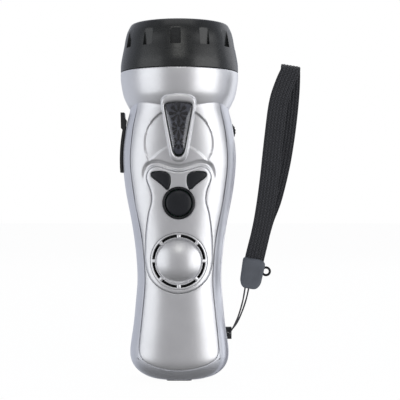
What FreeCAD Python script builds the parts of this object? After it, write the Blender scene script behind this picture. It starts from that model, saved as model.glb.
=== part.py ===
import FreeCAD, Part
import Sketcher
import math
import os

# Emergency radio in torch form. Millimetres, +Z up through the lamp, -Y is the face with the speaker,
# origin at the centre of the port cover that the radio stands on.

# ---------------------------------------------------------------- driving dimensions

DIMENSIONS = {
    "total_height": 195.0,
    "base_height": 0.6,
    "wall": 2.0,
    "seam_gap": 0.1,
    "running_gap": 0.05,
    "rail_width": 4.7,
    "panel_rise": 0.8,
    "heel_corner_width": 16.0,
    "heel_corner_depth": 9.0,
    "head_radius": 32.2,
    "collar_radius": 27.6,
    "bezel_height": 167.7,
    "bezel_grips": 12.0,
    "grip_width": 5.2,
    "grip_seat_radius": 28.9,
    "lens_radius": 26.0,
    "signal_height": 135.0,
    "signal_depth": 27.2,
    "signal_tilt": 10.8,
    "round_button_height": 96.3,
    "round_button_radius": 7.0,
    "side_button_height": 108.3,
    "side_button_spread": 9.6,
    "button_travel": 0.8,
    "speaker_height": 65.3,
    "speaker_radius": 15.2,
    "slot_inner_radius": 12.7,
    "slot_outer_radius": 14.1,
    "spoke_width": 2.0,
    "board_face": 9.6,
    "board_thickness": 1.6,
    "wheel_radius": 5.5,
    "wheel_thickness": 2.6,
    "wheel_side": 25.4,
    "wheel_height": 135.4,
    "slider_pivot_side": 60.2,
    "slider_pivot_height": 120.0,
    "slider_radius": 91.35,
    "slider_thickness": 1.35,
    "slider_width": 9.0,
    "crank_height": 92.0,
    "crank_reach": 38.0,
    "crank_face": 21.3,
    "crank_thickness": 3.0,
    "shaft_radius": 2.0,
    "knob_radius": 4.0,
    "knob_length": 18.0,
    "knob_axis_depth": 25.6,
    "gear_module": 0.6,
    "crank_teeth": 50.0,
    "idler_teeth": 40.0,
    "pinion_teeth": 12.0,
    "gear_width": 3.0,
    "drive_layer": 11.6,
    "dynamo_layer": 7.4,
    "dynamo_radius": 11.0,
    "screw_radius": 1.15,
    "screw_head_radius": 2.4,
    "plug_width": 13.7,
    "plug_depth": 18.0,
    "lug_side": 27.3,
    "lug_height": 24.9,
    "cord_radius": 0.45,
    "strap_width": 10.4,
    "strap_thickness": 1.2,
}

# Stations of the body: name, height, half width, depth to the front, depth to the back.
STATIONS = (
    ("heel", 14.3, 26.95, 18.0, 18.5),
    ("calf", 36.3, 24.5, 18.4, 20.1),
    ("waist", 55.0, 23.0, 18.8, 20.5),
    ("hip", 76.0, 24.5, 19.6, 20.5),
    ("grip", 98.0, 28.6, 20.8, 20.5),
    ("bulge", 120.0, 30.95, 22.4, 20.5),
    ("shoulder", 136.0, 29.4, 24.3, 20.6),
    ("neck", 147.0, 26.95, 26.95, 26.95),
)
STATION_SIZES = ("height", "half_width", "front", "back")

FRONT_ROUNDNESS = 2.4
BACK_ROUNDNESS = 3.0
SECTION_STEPS = 12
SHOULDER_RISE = 8.0
UPRIGHT = FreeCAD.Rotation()
TOWARD = {
    "+Z": FreeCAD.Rotation(),
    "+Y": FreeCAD.Rotation(FreeCAD.Vector(1, 0, 0), -90),
    "-Y": FreeCAD.Rotation(FreeCAD.Vector(1, 0, 0), 90),
    "+X": FreeCAD.Rotation(FreeCAD.Vector(0, 1, 0), 90),
}


class Size:
    """A number that remembers the sheet formula it comes from."""

    def __init__(self, number, formula=None):
        self.number = float(number)
        self.formula = formula or repr(float(number))

    def combined(self, other, sign, number):
        return Size(number, f"({self.formula} {sign} ({other.formula}))")

    def __add__(self, other):
        other = as_size(other)
        return self.combined(other, "+", self.number + other.number)

    def __sub__(self, other):
        other = as_size(other)
        return self.combined(other, "-", self.number - other.number)

    def __mul__(self, other):
        other = as_size(other)
        return self.combined(other, "*", self.number * other.number)

    def __truediv__(self, other):
        other = as_size(other)
        return self.combined(other, "/", self.number / other.number)

    def __radd__(self, other):
        return as_size(other) + self

    def __rsub__(self, other):
        return as_size(other) - self

    def __rmul__(self, other):
        return as_size(other) * self

    def __neg__(self):
        return self * -1

    def __float__(self):
        return self.number


def as_size(value):
    return value if isinstance(value, Size) else Size(value)


doc = FreeCAD.newDocument("EmergencyRadio")
sheet = doc.addObject("Spreadsheet::Sheet", "Dimensions")
size = {}
nodes = []


def fill_sheet():
    """Write every driving dimension as text beside its name, and keep it by name."""
    rows = dict(DIMENSIONS)
    for station in STATIONS:
        for what, value in zip(STATION_SIZES, station[1:]):
            rows[f"{station[0]}_{what}"] = value
    for row, (name, value) in enumerate(rows.items(), start=1):
        sheet.set(f"A{row}", name)
        sheet.set(f"B{row}", str(value))
        sheet.setAlias(f"B{row}", name)
        size[name] = Size(value, f"Dimensions.{name}")
    doc.recompute()


# ---------------------------------------------------------------- small tools


def bind(item, **properties):
    """Tie each named property to its sheet formula."""
    for name, value in properties.items():
        item.setExpression(name, as_size(value).formula)
    return item


def place(item, at=(0, 0, 0), rotation=UPRIGHT):
    """Turn an object, and tie its position to the sheet."""
    item.Placement = FreeCAD.Placement(FreeCAD.Vector(*[float(value) for value in at]), rotation)
    for letter, value in zip("xyz", at):
        item.setExpression(f"Placement.Base.{letter}", as_size(value).formula)
    return item


def cylinder(name, radius, length, at, toward="+Z"):
    item = bind(doc.addObject("Part::Cylinder", name), Radius=radius, Height=length)
    return place(item, at, TOWARD[toward])


def box(name, xs, ys, zs):
    """A block between two corners, each given as a low and a high value."""
    item = doc.addObject("Part::Box", name)
    lows = [as_size(pair[0]) for pair in (xs, ys, zs)]
    spans = [as_size(pair[1]) - as_size(pair[0]) for pair in (xs, ys, zs)]
    bind(item, Length=spans[0], Width=spans[1], Height=spans[2])
    return place(item, lows)


def joined(name, *parts):
    item = doc.addObject("Part::MultiFuse", name)
    item.Shapes = list(parts)
    return item


def shared(name, *parts):
    item = doc.addObject("Part::MultiCommon", name)
    item.Shapes = list(parts)
    return item


def cut(name, base, *tools):
    item = doc.addObject("Part::Cut", name)
    item.Base = base
    item.Tool = tools[0] if len(tools) == 1 else joined(f"{name}_cutters", *tools)
    return item


def grouped(name, *parts):
    item = doc.addObject("Part::Compound", name)
    item.Links = list(parts)
    return item


def tube(name, outer, inner, length, at, toward="+Z"):
    solid = cylinder(f"{name}_outer", outer, length, at, toward)
    return cut(name, solid, cylinder(f"{name}_bore", inner, length, at, toward))


def prism(name, wire, direction, length, rotation=UPRIGHT, at=(0, 0, 0)):
    """A closed wire pushed along a direction to a solid."""
    outline = doc.addObject("Part::Feature", f"{name}_outline")
    outline.Shape = wire
    outline.Placement = FreeCAD.Placement(FreeCAD.Vector(*[float(value) for value in at]), rotation)
    item = doc.addObject("Part::Extrusion", name)
    item.Base = outline
    item.DirMode = "Custom"
    item.Dir = rotation.multVec(FreeCAD.Vector(*direction))
    item.Solid = True
    return bind(item, LengthFwd=length)


def body_sketch(body, name, points, role="XZ_Plane", lift=0):
    """A closed outline of straight lines on one of the body's own planes, every corner tied down."""
    plane = [item for item in body.Origin.OriginFeatures if item.Role == role][0]
    sketch = body.newObject("Sketcher::SketchObject", name)
    sketch.AttachmentSupport = [(plane, "")]
    sketch.MapMode = "FlatFace"
    sketch.setExpression("AttachmentOffset.Base.z", as_size(lift).formula)
    corners = [(as_size(point[0]), as_size(point[1])) for point in points]
    count = len(corners)
    for index in range(count):
        ends = (corners[index], corners[(index + 1) % count])
        start, end = [FreeCAD.Vector(float(across), float(along), 0) for across, along in ends]
        sketch.addGeometry(Part.LineSegment(start, end), False)
    for index, (across, along) in enumerate(corners):
        sketch.addConstraint(Sketcher.Constraint("Coincident", index, 2, (index + 1) % count, 1))
        for kind, value in (("DistanceX", across), ("DistanceY", along)):
            number = sketch.addConstraint(Sketcher.Constraint(kind, -1, 1, index, 1, float(value)))
            sketch.setExpression(f"Constraints[{number}]", value.formula)
    return sketch


def turned(name, points, at=(0, 0, 0), toward="+Z"):
    """A body revolved about its own Z axis from (radius, height) corners."""
    body = doc.addObject("PartDesign::Body", name)
    sketch = body_sketch(body, f"{name}_profile", points)
    revolution = body.newObject("PartDesign::Revolution", f"{name}_revolution")
    revolution.Profile = sketch
    revolution.ReferenceAxis = (sketch, ["V_Axis"])
    revolution.Angle = 360
    place(body, at, TOWARD[toward])
    return body


def padded(name, points, thickness, at=(0, 0, 0), rotation=UPRIGHT):
    """A body padded toward -Y from corners in the XZ plane."""
    body = doc.addObject("PartDesign::Body", name)
    pad = body.newObject("PartDesign::Pad", f"{name}_pad")
    pad.Profile = body_sketch(body, f"{name}_face", points)
    bind(pad, Length=thickness)
    place(body, at, rotation)
    return body


def rounded_edges(name, base, radius, keep):
    """Round the edges of a finished shape that the keep test picks."""
    doc.recompute()
    item = doc.addObject("Part::Fillet", name)
    item.Base = base
    edges = enumerate(base.Shape.Edges, start=1)
    item.Edges = [(number, radius, radius) for number, edge in edges if keep(edge)]
    return item


def rod(name, radius, points):
    """A round cord through points: a cylinder along each stretch and a ball at each bend."""
    parts = []
    for index, (start, end) in enumerate(zip(points, points[1:])):
        begin = FreeCAD.Vector(*start)
        span = FreeCAD.Vector(*end) - begin
        piece = bind(doc.addObject("Part::Cylinder", f"{name}_stretch{index}"), Radius=radius)
        piece.Height = span.Length
        piece.Placement = FreeCAD.Placement(begin, FreeCAD.Rotation(FreeCAD.Vector(0, 0, 1), span))
        parts.append(piece)
    for index, point in enumerate(points[1:-1]):
        ball = bind(doc.addObject("Part::Sphere", f"{name}_bend{index}"), Radius=radius)
        ball.Placement = FreeCAD.Placement(FreeCAD.Vector(*point), UPRIGHT)
        parts.append(ball)
    return joined(name, *parts) if len(parts) > 1 else parts[0]


def node(item, label):
    """Mark a finished object as one piece of the radio, under its own label."""
    item.Label = label
    nodes.append(item)
    return item


# ---------------------------------------------------------------- body form


def station_values(what):
    heights = [float(size[f"{station[0]}_height"]) for station in STATIONS]
    values = [float(size[f"{station[0]}_{what}"]) for station in STATIONS]
    return heights, values


def smooth(what, height):
    """Cubic through the stations that never overshoots between two of them."""
    heights, values = station_values(what)
    slopes = [(b - a) / (q - p) for a, b, p, q in zip(values, values[1:], heights, heights[1:])]
    tangents = [slopes[0]]
    for before, after in zip(slopes, slopes[1:]):
        level = before * after <= 0
        tangents.append(0.0 if level else 2 * before * after / (before + after))
    tangents.append(slopes[-1])
    index = max(0, min(len(slopes) - 1, sum(height >= station for station in heights) - 1))
    step = heights[index + 1] - heights[index]
    share = min(1.0, (height - heights[index]) / step)
    rise = (3 - 2 * share) * share**2
    lead = share * (1 - share) ** 2 * step
    trail = -(1 - share) * share**2 * step
    blend = values[index] * (1 - rise) + values[index + 1] * rise
    return blend + tangents[index] * lead + tangents[index + 1] * trail


def half_width(height):
    return smooth("half_width", height)


def section(height, side, front, back):
    """A closed rounded outline in two halves: flatter at the back than at the front."""
    halves = []
    for start, depth, roundness in ((180, front, FRONT_ROUNDNESS), (0, back, BACK_ROUNDNESS)):
        points = []
        for step in range(SECTION_STEPS + 1):
            angle = math.radians(start + 180 * step / SECTION_STEPS)
            across, along = math.cos(angle), math.sin(angle)
            x = side * math.copysign(abs(across) ** (2 / roundness), across)
            y = depth * math.copysign(abs(along) ** (2 / roundness), along)
            points.append(FreeCAD.Vector(x, 0 if step in (0, SECTION_STEPS) else y, height))
        heading = FreeCAD.Vector(0, -1 if start else 1, 0)
        curve = Part.BSplineCurve()
        curve.interpolate(points, InitialTangent=heading, FinalTangent=-heading)
        halves.append(curve.toShape())
    return Part.Wire(halves)


def body_loft(name, inset, rise=0.0):
    """The body's outer form drawn in by an inset: rounded heel, waist, bulge and neck, and a straight rise."""
    heel = {what: float(size[f"heel_{what}"]) for what in STATION_SIZES}
    corner_width = float(size["heel_corner_width"])
    corner_depth = float(size["heel_corner_depth"])
    corner_height = heel["height"] - float(size["base_height"])
    wires = []
    for degrees in (0, 24, 48, 70, 90):
        angle = math.radians(degrees)
        wires.append(
            section(
                heel["height"] - (corner_height - inset) * math.cos(angle),
                heel["half_width"] - corner_width + (corner_width - inset) * math.sin(angle),
                heel["front"] - corner_depth + (corner_depth - inset) * math.sin(angle),
                heel["back"] - corner_depth + (corner_depth - inset) * math.sin(angle),
            )
        )
    neck = float(size["neck_height"])
    levels = (28, 42, 55, 68, 84, 100, 112, 122, 131, 138, 143, neck)
    for height in levels + ((neck + rise,) if rise else ()):
        depths = [smooth(what, min(height, neck)) - inset for what in STATION_SIZES[1:]]
        wires.append(section(height, *depths))
    item = doc.addObject("Part::Feature", name)
    item.Shape = Part.makeLoft(wires, True, False, False)
    return item


def face_wire(grow):
    """Outline of the front shell inside the side rails, widened by grow."""
    inset = float(size["rail_width"]) - grow
    top = float(size["neck_height"]) + SHOULDER_RISE + 1
    corner = float(size["heel_height"]) - 2
    heights = (corner, 20, 30, 42, 55, 66, 76, 87, 98, 109, 120, 130, 138, 147, top)
    right = [FreeCAD.Vector(half_width(max(height, 14.3)) - inset, 0, height) for height in heights]
    left = [FreeCAD.Vector(-point.x, 0, point.z) for point in reversed(right)]
    sides = []
    for points in (right, left):
        curve = Part.BSplineCurve()
        curve.interpolate(points)
        sides.append(curve.toShape())
    lowest = FreeCAD.Vector(0, 0, 6.3 - grow)
    bottom = Part.Arc(left[-1], lowest, right[0]).toShape()
    top_edge = Part.LineSegment(right[-1], left[0]).toShape()
    return Part.Wire([sides[0], top_edge, sides[1], bottom])


def panel_wire(grow):
    """Outline of the control panel: a moustache at the top, a waist, and round about the speaker."""
    half = (
        (6.1, 113.9), (11.1, 115.4), (15.2, 114.4), (17.2, 109.8), (14.8, 102.5), (14.4, 97.0),
        (16.2, 90.0), (17.6, 80.0), (18.1, 71.0), (18.1, 65.0), (15.6, 56.6), (9.0, 50.4),
    )
    middle = FreeCAD.Vector(0, 0, 84)
    sides = []
    for side in (1, -1):
        corners = ((0, 112.8),) + half + ((0, 48.0),)
        points = []
        for across, height in corners:
            outward = FreeCAD.Vector(side * across, 0, height) - middle
            points.append(middle + outward * (1 + grow / outward.Length))
        level = FreeCAD.Vector(side, 0, 0)
        curve = Part.BSplineCurve()
        curve.interpolate(points, InitialTangent=level, FinalTangent=-level)
        sides.append(curve.toShape())
    return Part.Wire(sides)


def tongue_wire(half_top, top, arch, tip_radius, tip, depth):
    """A tongue in the XZ plane: arched top, straight tapering sides, round tip."""
    right_top = FreeCAD.Vector(half_top, depth, top)
    left_top = FreeCAD.Vector(-half_top, depth, top)
    right_tip = FreeCAD.Vector(tip_radius, depth, tip)
    left_tip = FreeCAD.Vector(-tip_radius, depth, tip)
    arch_point = FreeCAD.Vector(0, depth, top + arch)
    tip_point = FreeCAD.Vector(0, depth, tip - tip_radius)
    return Part.Wire(
        [
            Part.Arc(left_top, arch_point, right_top).toShape(),
            Part.LineSegment(right_top, right_tip).toShape(),
            Part.Arc(right_tip, tip_point, left_tip).toShape(),
            Part.LineSegment(left_tip, left_top).toShape(),
        ]
    )


def button_wire(side, grow):
    """A rounded triangle beside the round button, mirrored by side."""
    low, high = float(size["side_button_height"]) - 4.6, float(size["side_button_height"]) + 4.2
    spread = float(size["side_button_spread"])
    corners = ((spread + 6.6, high), (spread - 4.9, high - 0.6), (spread - 4.5, low), (spread - 2.6, low))
    points = [FreeCAD.Vector(side * across, 0, height) for across, height in corners]
    wire = Part.makePolygon(points + points[:1])
    return wire.makeOffset2D(grow - 1.2).makeOffset2D(1.2)


# ---------------------------------------------------------------- casing


def casing(outer, cavity, raised):
    """Front shell, rear shell and control panel, cut from one hollow form."""
    gap = float(size["seam_gap"])
    head_clear = smooth_turned("head_clearance", bulb_curve(gap), ((0, 167), (0, 147.1 - gap)))
    wall_form = cut("wall_form", outer, cavity, head_clear)
    deep = Size(60)
    face = prism("face_block", face_wire(0), (0, -1, 0), deep)
    face_clear = prism("face_clearance", face_wire(float(size["seam_gap"])), (0, -1, 0), deep)
    panel_block = prism("panel_block", panel_wire(0), (0, -1, 0), deep)
    panel_clear = prism("panel_clearance", panel_wire(1.5 * float(size["seam_gap"])), (0, -1, 0), deep)
    hood_clear = hood_block("hood_clearance", float(size["seam_gap"]), -12, 9.2)
    bosses = screw_bosses(outer)
    front = cut("front_open", shared("front_form", wall_form, face), panel_clear, hood_clear)
    pilots = [cylinder(f"pilot{k}", size["screw_radius"] + 0.05, 24, (x, -10, z), "+Y")
              for k, (x, z) in enumerate(screw_places())]
    front_bossed = joined("front_bossed", front, *bosses["front"])
    node(cut("front_shell", front_bossed, *pilots), "front_shell")
    rear_bossed = joined("rear_bossed", cut("rear_form", wall_form, face_clear, hood_clear), *bosses["rear"])
    node(cut("rear_shell", rear_bossed, *rear_openings()), "rear_shell")
    panel_form = shared("panel_form", cut("raised_wall", raised, cavity), panel_block)
    openings = [
        cylinder("round_opening", size["round_button_radius"] + 1.6, 40,
                 (0, -50, size["round_button_height"]), "+Y"),
        cylinder("speaker_opening", size["speaker_radius"] + size["seam_gap"], 40,
                 (0, -50, size["speaker_height"]), "+Y"),
    ]
    for side in (-1, 1):
        openings.append(prism(f"side_opening{side}", button_wire(side, 0.15), (0, -1, 0), deep))
    node(cut("control_panel", panel_form, *openings), "control_panel")


def screw_places():
    return ((-20, 104), (20, 104), (-15, 40), (15, 40))


def screw_bosses(outer):
    """Hollow posts from both shells that meet just in front of the middle plane."""
    bosses = {"front": [], "rear": []}
    for number, (x, z) in enumerate(screw_places()):
        rear = cylinder(f"rear_post{number}", 4, 24, (x, 2, z), "+Y")
        front = cylinder(f"front_post{number}", 3, 24, (x, -22.1, z), "+Y")
        bosses["rear"].append(shared(f"rear_boss{number}", rear, outer))
        bosses["front"].append(shared(f"front_boss{number}", front, outer))
    return bosses


def rear_openings():
    """Everything that is cut through the rear shell and its side rails."""
    cuts = []
    for number, (x, z) in enumerate(screw_places()):
        cuts.append(cylinder(f"screw_way{number}", size["screw_radius"] + 0.15, 30, (x, 0, z), "+Y"))
        cuts.append(cylinder(f"screw_sink{number}", size["screw_head_radius"] + 0.3, 12, (x, 14.5, z), "+Y"))
    cuts.append(cylinder("shaft_way", 3.52, 12, (0, 12, size["crank_height"]), "+Y"))
    half_wheel = size["wheel_thickness"] / 2 + 0.3
    reach = size["wheel_radius"] + 0.7
    cuts.append(box("wheel_slot", (19, 34), (-half_wheel, half_wheel),
                    (size["wheel_height"] - reach, size["wheel_height"] + reach)))
    cuts.append(box("slider_slot", (-34, -24), (-1.5, 1.5), (115.1, 126.3)))
    half_plug = size["plug_width"] / 2 + 0.15
    half_depth = size["plug_depth"] / 2 + 0.15
    cuts.append(box("plug_opening", (-half_plug, half_plug), (-half_depth, half_depth), (-1, 6)))
    cuts.append(box("lug_slot", (20, 32), (-1.65, 1.65), (size["lug_height"] - 3.25, size["lug_height"] + 3.25)))
    return cuts


def case_screws():
    screws = []
    for number, (x, z) in enumerate(screw_places()):
        points = (
            (0, 0), (size["screw_radius"], 0), (size["screw_radius"], 20),
            (size["screw_head_radius"], 20), (size["screw_head_radius"], 21.6), (0.6, 21.6),
            (0.6, 20.9), (0, 20.9),
        )
        screws.append(turned(f"case_screw{number}", points, (x, -5.5, z), "+Y"))
    node(grouped("case_screws", *screws), "case_screws")


# ---------------------------------------------------------------- lamp head


def smooth_turned(name, outer_curve, inner_corners):
    """A ring whose outside is a smooth curve and whose inside is straight corners."""
    points = [FreeCAD.Vector(radius, 0, height) for radius, height in outer_curve]
    curve = Part.BSplineCurve()
    curve.interpolate(points)
    corners = [points[-1]] + [FreeCAD.Vector(r, 0, z) for r, z in inner_corners] + [points[0]]
    wire = Part.Wire([curve.toShape(), Part.makePolygon(corners)])
    outline = doc.addObject("Part::Feature", f"{name}_outline")
    outline.Shape = wire
    item = doc.addObject("Part::Revolution", name)
    item.Source = outline
    item.Axis = (0, 0, 1)
    item.Angle = 360
    item.Solid = True
    return item


def bulb_curve(grow):
    """Outside of the lamp head from the neck up to the bezel."""
    neck, head = float(size["neck_half_width"]), float(size["head_radius"])
    top = float(size["bezel_height"]) - 0.3
    curve = ((neck, 147.1), (28.9, 150.7), (30.7, 155.1), (31.7, 160.0), (head, 164.5), (head, top))
    return [(radius + grow, height - grow) for radius, height in curve]


def lamp_head():
    collar = float(size["collar_radius"])
    top = float(size["bezel_height"])
    inside = (
        (collar, top - 0.3), (collar, 185.4), (25.6, 185.4), (25.6, 168.0), (28.0, 160.0),
        (26.0, 152.0), (20.8, 147.0), (20.8, 144.5), (22.6, 144.5), (22.6, 147.1),
    )
    cup = smooth_turned("head_cup", bulb_curve(0), inside)
    lugs = []
    for number in range(3):
        lug = box(f"bayonet_lug{number}", (26.6, 28.9), (-2.5, 2.5), (176, 178))
        lug.Placement = FreeCAD.Placement(
            FreeCAD.Rotation(FreeCAD.Vector(0, 0, 1), 120 * number).multVec(FreeCAD.Vector(26.6, -2.5, 176)),
            FreeCAD.Rotation(FreeCAD.Vector(0, 0, 1), 120 * number),
        )
        for letter in "xyz":
            lug.setExpression(f"Placement.Base.{letter}", None)
        lugs.append(lug)
    notch = hood_block("head_notch", float(size["seam_gap"]), -12, 9.2)
    node(cut("lamp_head", joined("head_lugged", cup, *lugs), notch), "lamp_head")


def bezel_ring():
    """Grip ring with square notches outside and a bayonet groove inside."""
    top = size["total_height"]
    inner = size["collar_radius"] + 0.15
    seat = size["lens_radius"] + 0.2
    points = (
        (32.2, size["bezel_height"]), (32.05, 172), (31.2, 177), (30.3, 181.5), (29.5, 186),
        (28.6, 189.2), (27.2, 191.7), (25.4, 193.7), (23.8, top - 0.2), (22.9, top),
        (22.4, top - 0.4), (22.4, 190.6), (seat, 190.6), (seat, 186.1), (inner, 186.1),
        (inner, 178.3), (29.1, 178.3), (29.1, 175.7), (inner, 175.7), (inner, size["bezel_height"]),
    )
    body = turned("bezel_body", points)
    notch = body.newObject("PartDesign::Pocket", "grip_notch")
    half = size["grip_width"] / 2
    notch.Profile = body_sketch(
        body, "grip_outline", ((-half, 180), (half, 180), (half, top + 2), (-half, top + 2)),
        lift=size["grip_seat_radius"])
    notch.Type = "ThroughAll"
    notch.Reversed = True
    pattern = body.newObject("PartDesign::PolarPattern", "grip_pattern")
    pattern.Originals = [notch]
    axis = [item for item in body.Origin.OriginFeatures if item.Role == "Z_Axis"][0]
    pattern.Axis = (axis, [""])
    pattern.Angle = 360
    bind(pattern, Occurrences=size["bezel_grips"])
    body.Tip = pattern
    entries = []
    for number in range(3):
        entry = box(f"bayonet_entry{number}", (26, 29.1), (-3, 3), (167, 177))
        turn = FreeCAD.Rotation(FreeCAD.Vector(0, 0, 1), 120 * number - 30)
        for letter in "xyz":
            entry.setExpression(f"Placement.Base.{letter}", None)
        entry.Placement = FreeCAD.Placement(turn.multVec(FreeCAD.Vector(26, -3, 167)), turn)
        entries.append(entry)
    node(cut("bezel_ring", body, *entries), "bezel_ring")


def lamp_parts():
    lens = size["lens_radius"]
    lens_points = ((0, 188.4), (lens, 188.4), (lens, 190.5), (22.2, 190.5), (21.4, 191.2), (0, 191.7))
    node(turned("lamp_lens", lens_points), "lamp_lens")
    node(tube("lens_seal", lens, 24.2, 1.3, (0, 0, 187.0)), "lens_seal")
    dish = turned(
        "lamp_dish",
        (
            (0, 173.0), (10.6, 173.0), (17.5, 176.0), (22.4, 180.4), (25.3, 185.5), (lens, 185.5),
            (lens, 186.9), (24.6, 186.9), (21.5, 181.2), (16.9, 177.0), (10.2, 174.1), (0, 174.1),
        ),
    )
    holes = []
    leds = []
    for number in range(3):
        angle = math.radians(120 * number + 90)
        x, y = 5.8 * math.cos(angle), 5.8 * math.sin(angle)
        holes.append(cylinder(f"led_hole{number}", 2.7, 4, (x, y, 172)))
        lamp = turned(
            f"lamp_led{number}",
            ((0, 171.8), (2.5, 171.8), (2.5, 176.7), (2.1, 178.2), (1.2, 179.1), (0, 179.4)),
            (x, y, 0),
        )
        leds.append(lamp)
    node(cut("lamp_reflector", dish, *holes), "lamp_reflector")
    node(grouped("lamp_leds", *leds), "lamp_leds")
    node(cylinder("lamp_board", 14, 1.6, (0, 0, 170.1)), "lamp_board")
    leads = [rod(f"lamp_lead{side}", 0.5, [(side * 4, -7.4, 138), (side * 4, -5, 150), (side * 4, -4, 170.0)])
             for side in (-1, 1)]
    node(grouped("lamp_cable", *leads), "lamp_cable")


# ---------------------------------------------------------------- signal lamp


def signal_frame():
    """Position and tilt of the signal lamp: its own -Y looks out of the neck."""
    at = (0, -float(size["signal_depth"]), float(size["signal_height"]))
    return at, FreeCAD.Rotation(FreeCAD.Vector(1, 0, 0), float(size["signal_tilt"]))


def tongue_block(name, half_top, top, arch, tip_radius, tip, near, far):
    at, rotation = signal_frame()
    wire = tongue_wire(half_top, top, arch, tip_radius, tip, near)
    return prism(name, wire, (0, 1, 0), Size(far - near), rotation, at)


def hood_block(name, grow, near, far):
    return tongue_block(name, 9.7 + grow, 16.5 + grow, 2.6, 5.0 + grow, -13.2, near, far)


def lens_block(name, grow, near, far):
    return tongue_block(name, 7.9 + grow, 13.6 + grow, 1.0, 3.3 + grow, -11.4, near, far)


def signal_lamp():
    hood = hood_block("hood_body", 0, -0.9, 9)
    seat = lens_block("hood_seat", 0.1, -3, 1.2)
    well = lens_block("hood_well", -1.2, -3, 12)
    node(cut("signal_hood", hood, seat, well), "signal_hood")
    node(lens_block("signal_lens_block", 0, -1.5, 1.1), "signal_lens")
    plate = lens_block("reflector_plate", -1.4, 1.6, 6.4)
    at, rotation = signal_frame()
    cups = []
    leds = []
    for number, (height, radius) in enumerate(((8.2, 4.6), (0.2, 3.9), (-7.4, 3.1))):
        centre = rotation.multVec(FreeCAD.Vector(0, 1.5, height)) + FreeCAD.Vector(*at)
        cup = doc.addObject("Part::Cone", f"signal_cup{number}")
        cup.Radius1 = radius
        cup.Radius2 = 1.7
        cup.Height = 5
        cup.Placement = FreeCAD.Placement(centre, rotation * TOWARD["+Y"])
        cups.append(cup)
        led = doc.addObject("Part::Cylinder", f"signal_led{number}")
        led.Radius = 1.5
        led.Height = 2.6
        led.Placement = FreeCAD.Placement(
            centre + rotation.multVec(FreeCAD.Vector(0, 2.4, 0)), rotation * TOWARD["+Y"])
        leds.append(rounded_edges(f"signal_dome{number}", led, 0.9, near_front_rim))
    node(cut("signal_reflector", plate, *cups), "signal_reflector")
    node(grouped("signal_leds", *leds), "signal_leds")
    node(lens_block("signal_board_block", -1.4, 6.6, 7.8), "signal_board")


def near_front_rim(edge):
    """The rim of a lamp that faces the lens: the closed edge furthest to the front."""
    circle = isinstance(edge.Curve, Part.Circle)
    return circle and edge.Curve.Center.y < -float(size["signal_depth"]) + 4.9 + edge_lean(edge)


def edge_lean(edge):
    height = edge.Curve.Center.z - float(size["signal_height"])
    return -height * math.tan(math.radians(float(size["signal_tilt"])))


# ---------------------------------------------------------------- controls


def buttons(raised):
    height = size["round_button_height"]
    radius = size["round_button_radius"]
    ring = ((radius + 0.25, 18.8), (radius + 1.5, 18.8), (radius + 1.5, 21.9), (radius + 1.1, 22.3),
            (radius + 0.55, 22.3), (radius + 0.25, 21.9))
    node(turned("button_ring", ring, (0, 0, height), "-Y"), "button_ring")
    cap = ((0, 14.5), (1.5, 14.5), (1.5, 17.6), (radius, 17.6), (radius, 21.5), (radius - 0.5, 22.1),
           (radius * 0.7, 22.5), (radius * 0.35, 22.75), (0, 22.8))
    node(turned("round_button", cap, (0, 0, height), "-Y"), "round_button")
    for side, name in ((-1, "left_button"), (1, "right_button")):
        column = prism(f"{name}_column", button_wire(side, 0), (0, -1, 0), Size(40))
        trim = box(f"{name}_trim", (-30, 30), (-60, -17), (90, 125))
        cap = shared(f"{name}_cap", column, raised, trim)
        stem = cylinder(f"{name}_stem", 1.3, 3.1,
                        (side * size["side_button_spread"], -17.6, size["side_button_height"]), "+Y")
        node(joined(name, cap, stem), name)


def side_controls():
    side, height = size["wheel_side"], size["wheel_height"]
    half = size["wheel_thickness"] / 2
    wheel = cylinder("wheel_disc", size["wheel_radius"], size["wheel_thickness"], (side, -half, height), "+Y")
    bore = cylinder("wheel_bore", 1.0 + size["running_gap"], 6, (side, -3, height), "+Y")
    notches = []
    for number in range(20):
        angle = 2 * math.pi * number / 20
        reach = float(size["wheel_radius"]) + 0.25
        at = (float(side) + reach * math.cos(angle), -3, float(height) + reach * math.sin(angle))
        notches.append(cylinder(f"wheel_notch{number}", 0.5, 6, at, "+Y"))
    node(cut("volume_wheel", wheel, bore, *notches), "volume_wheel")
    foot = box("pot_foot", (17.0, 22.5), (-7.95, -4.0), (height - 3, height + 3))
    pot = box("pot_body", (17.0, side + 0.7), (-4.2, -1.75), (height - 3, height + 3))
    shaft = cylinder("pot_shaft", 1.0, 5, (side, -3, height), "+Y")
    node(joined("volume_pot", foot, pot, shaft), "volume_pot")
    lamp_slider()
    node(box("lamp_switch", (-26.5, -21), (-3.5, 3.5), (113, 129)), "lamp_switch")


def lamp_slider():
    """Curved slide that hugs the left side, with a thumb hook at its upper end."""
    pivot = (size["slider_pivot_side"], -size["slider_width"] / 2, size["slider_pivot_height"])
    ring = tube("slider_ring", size["slider_radius"] + size["slider_thickness"], size["slider_radius"],
                size["slider_width"], pivot, "+Y")
    span = box("slider_span", (-40, -20), (-10, 10), (112.9, 138))
    hook_points = ((-32.1, 145.7), (-30.1, 145.7), (-29.9, 143.0), (-29.1, 141.7), (-29.8, 137.0),
                   (-31.0, 136.2), (-31.9, 137.2))
    hook = padded("slider_hook", hook_points, size["slider_width"], (0, size["slider_width"] / 2, 0))
    stem = box("slider_stem", (-31.6, -27.5), (-1.2, 1.2), (122, 126))
    node(joined("lamp_slider", shared("slider_plate", ring, span), hook, stem), "lamp_slider")


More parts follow.
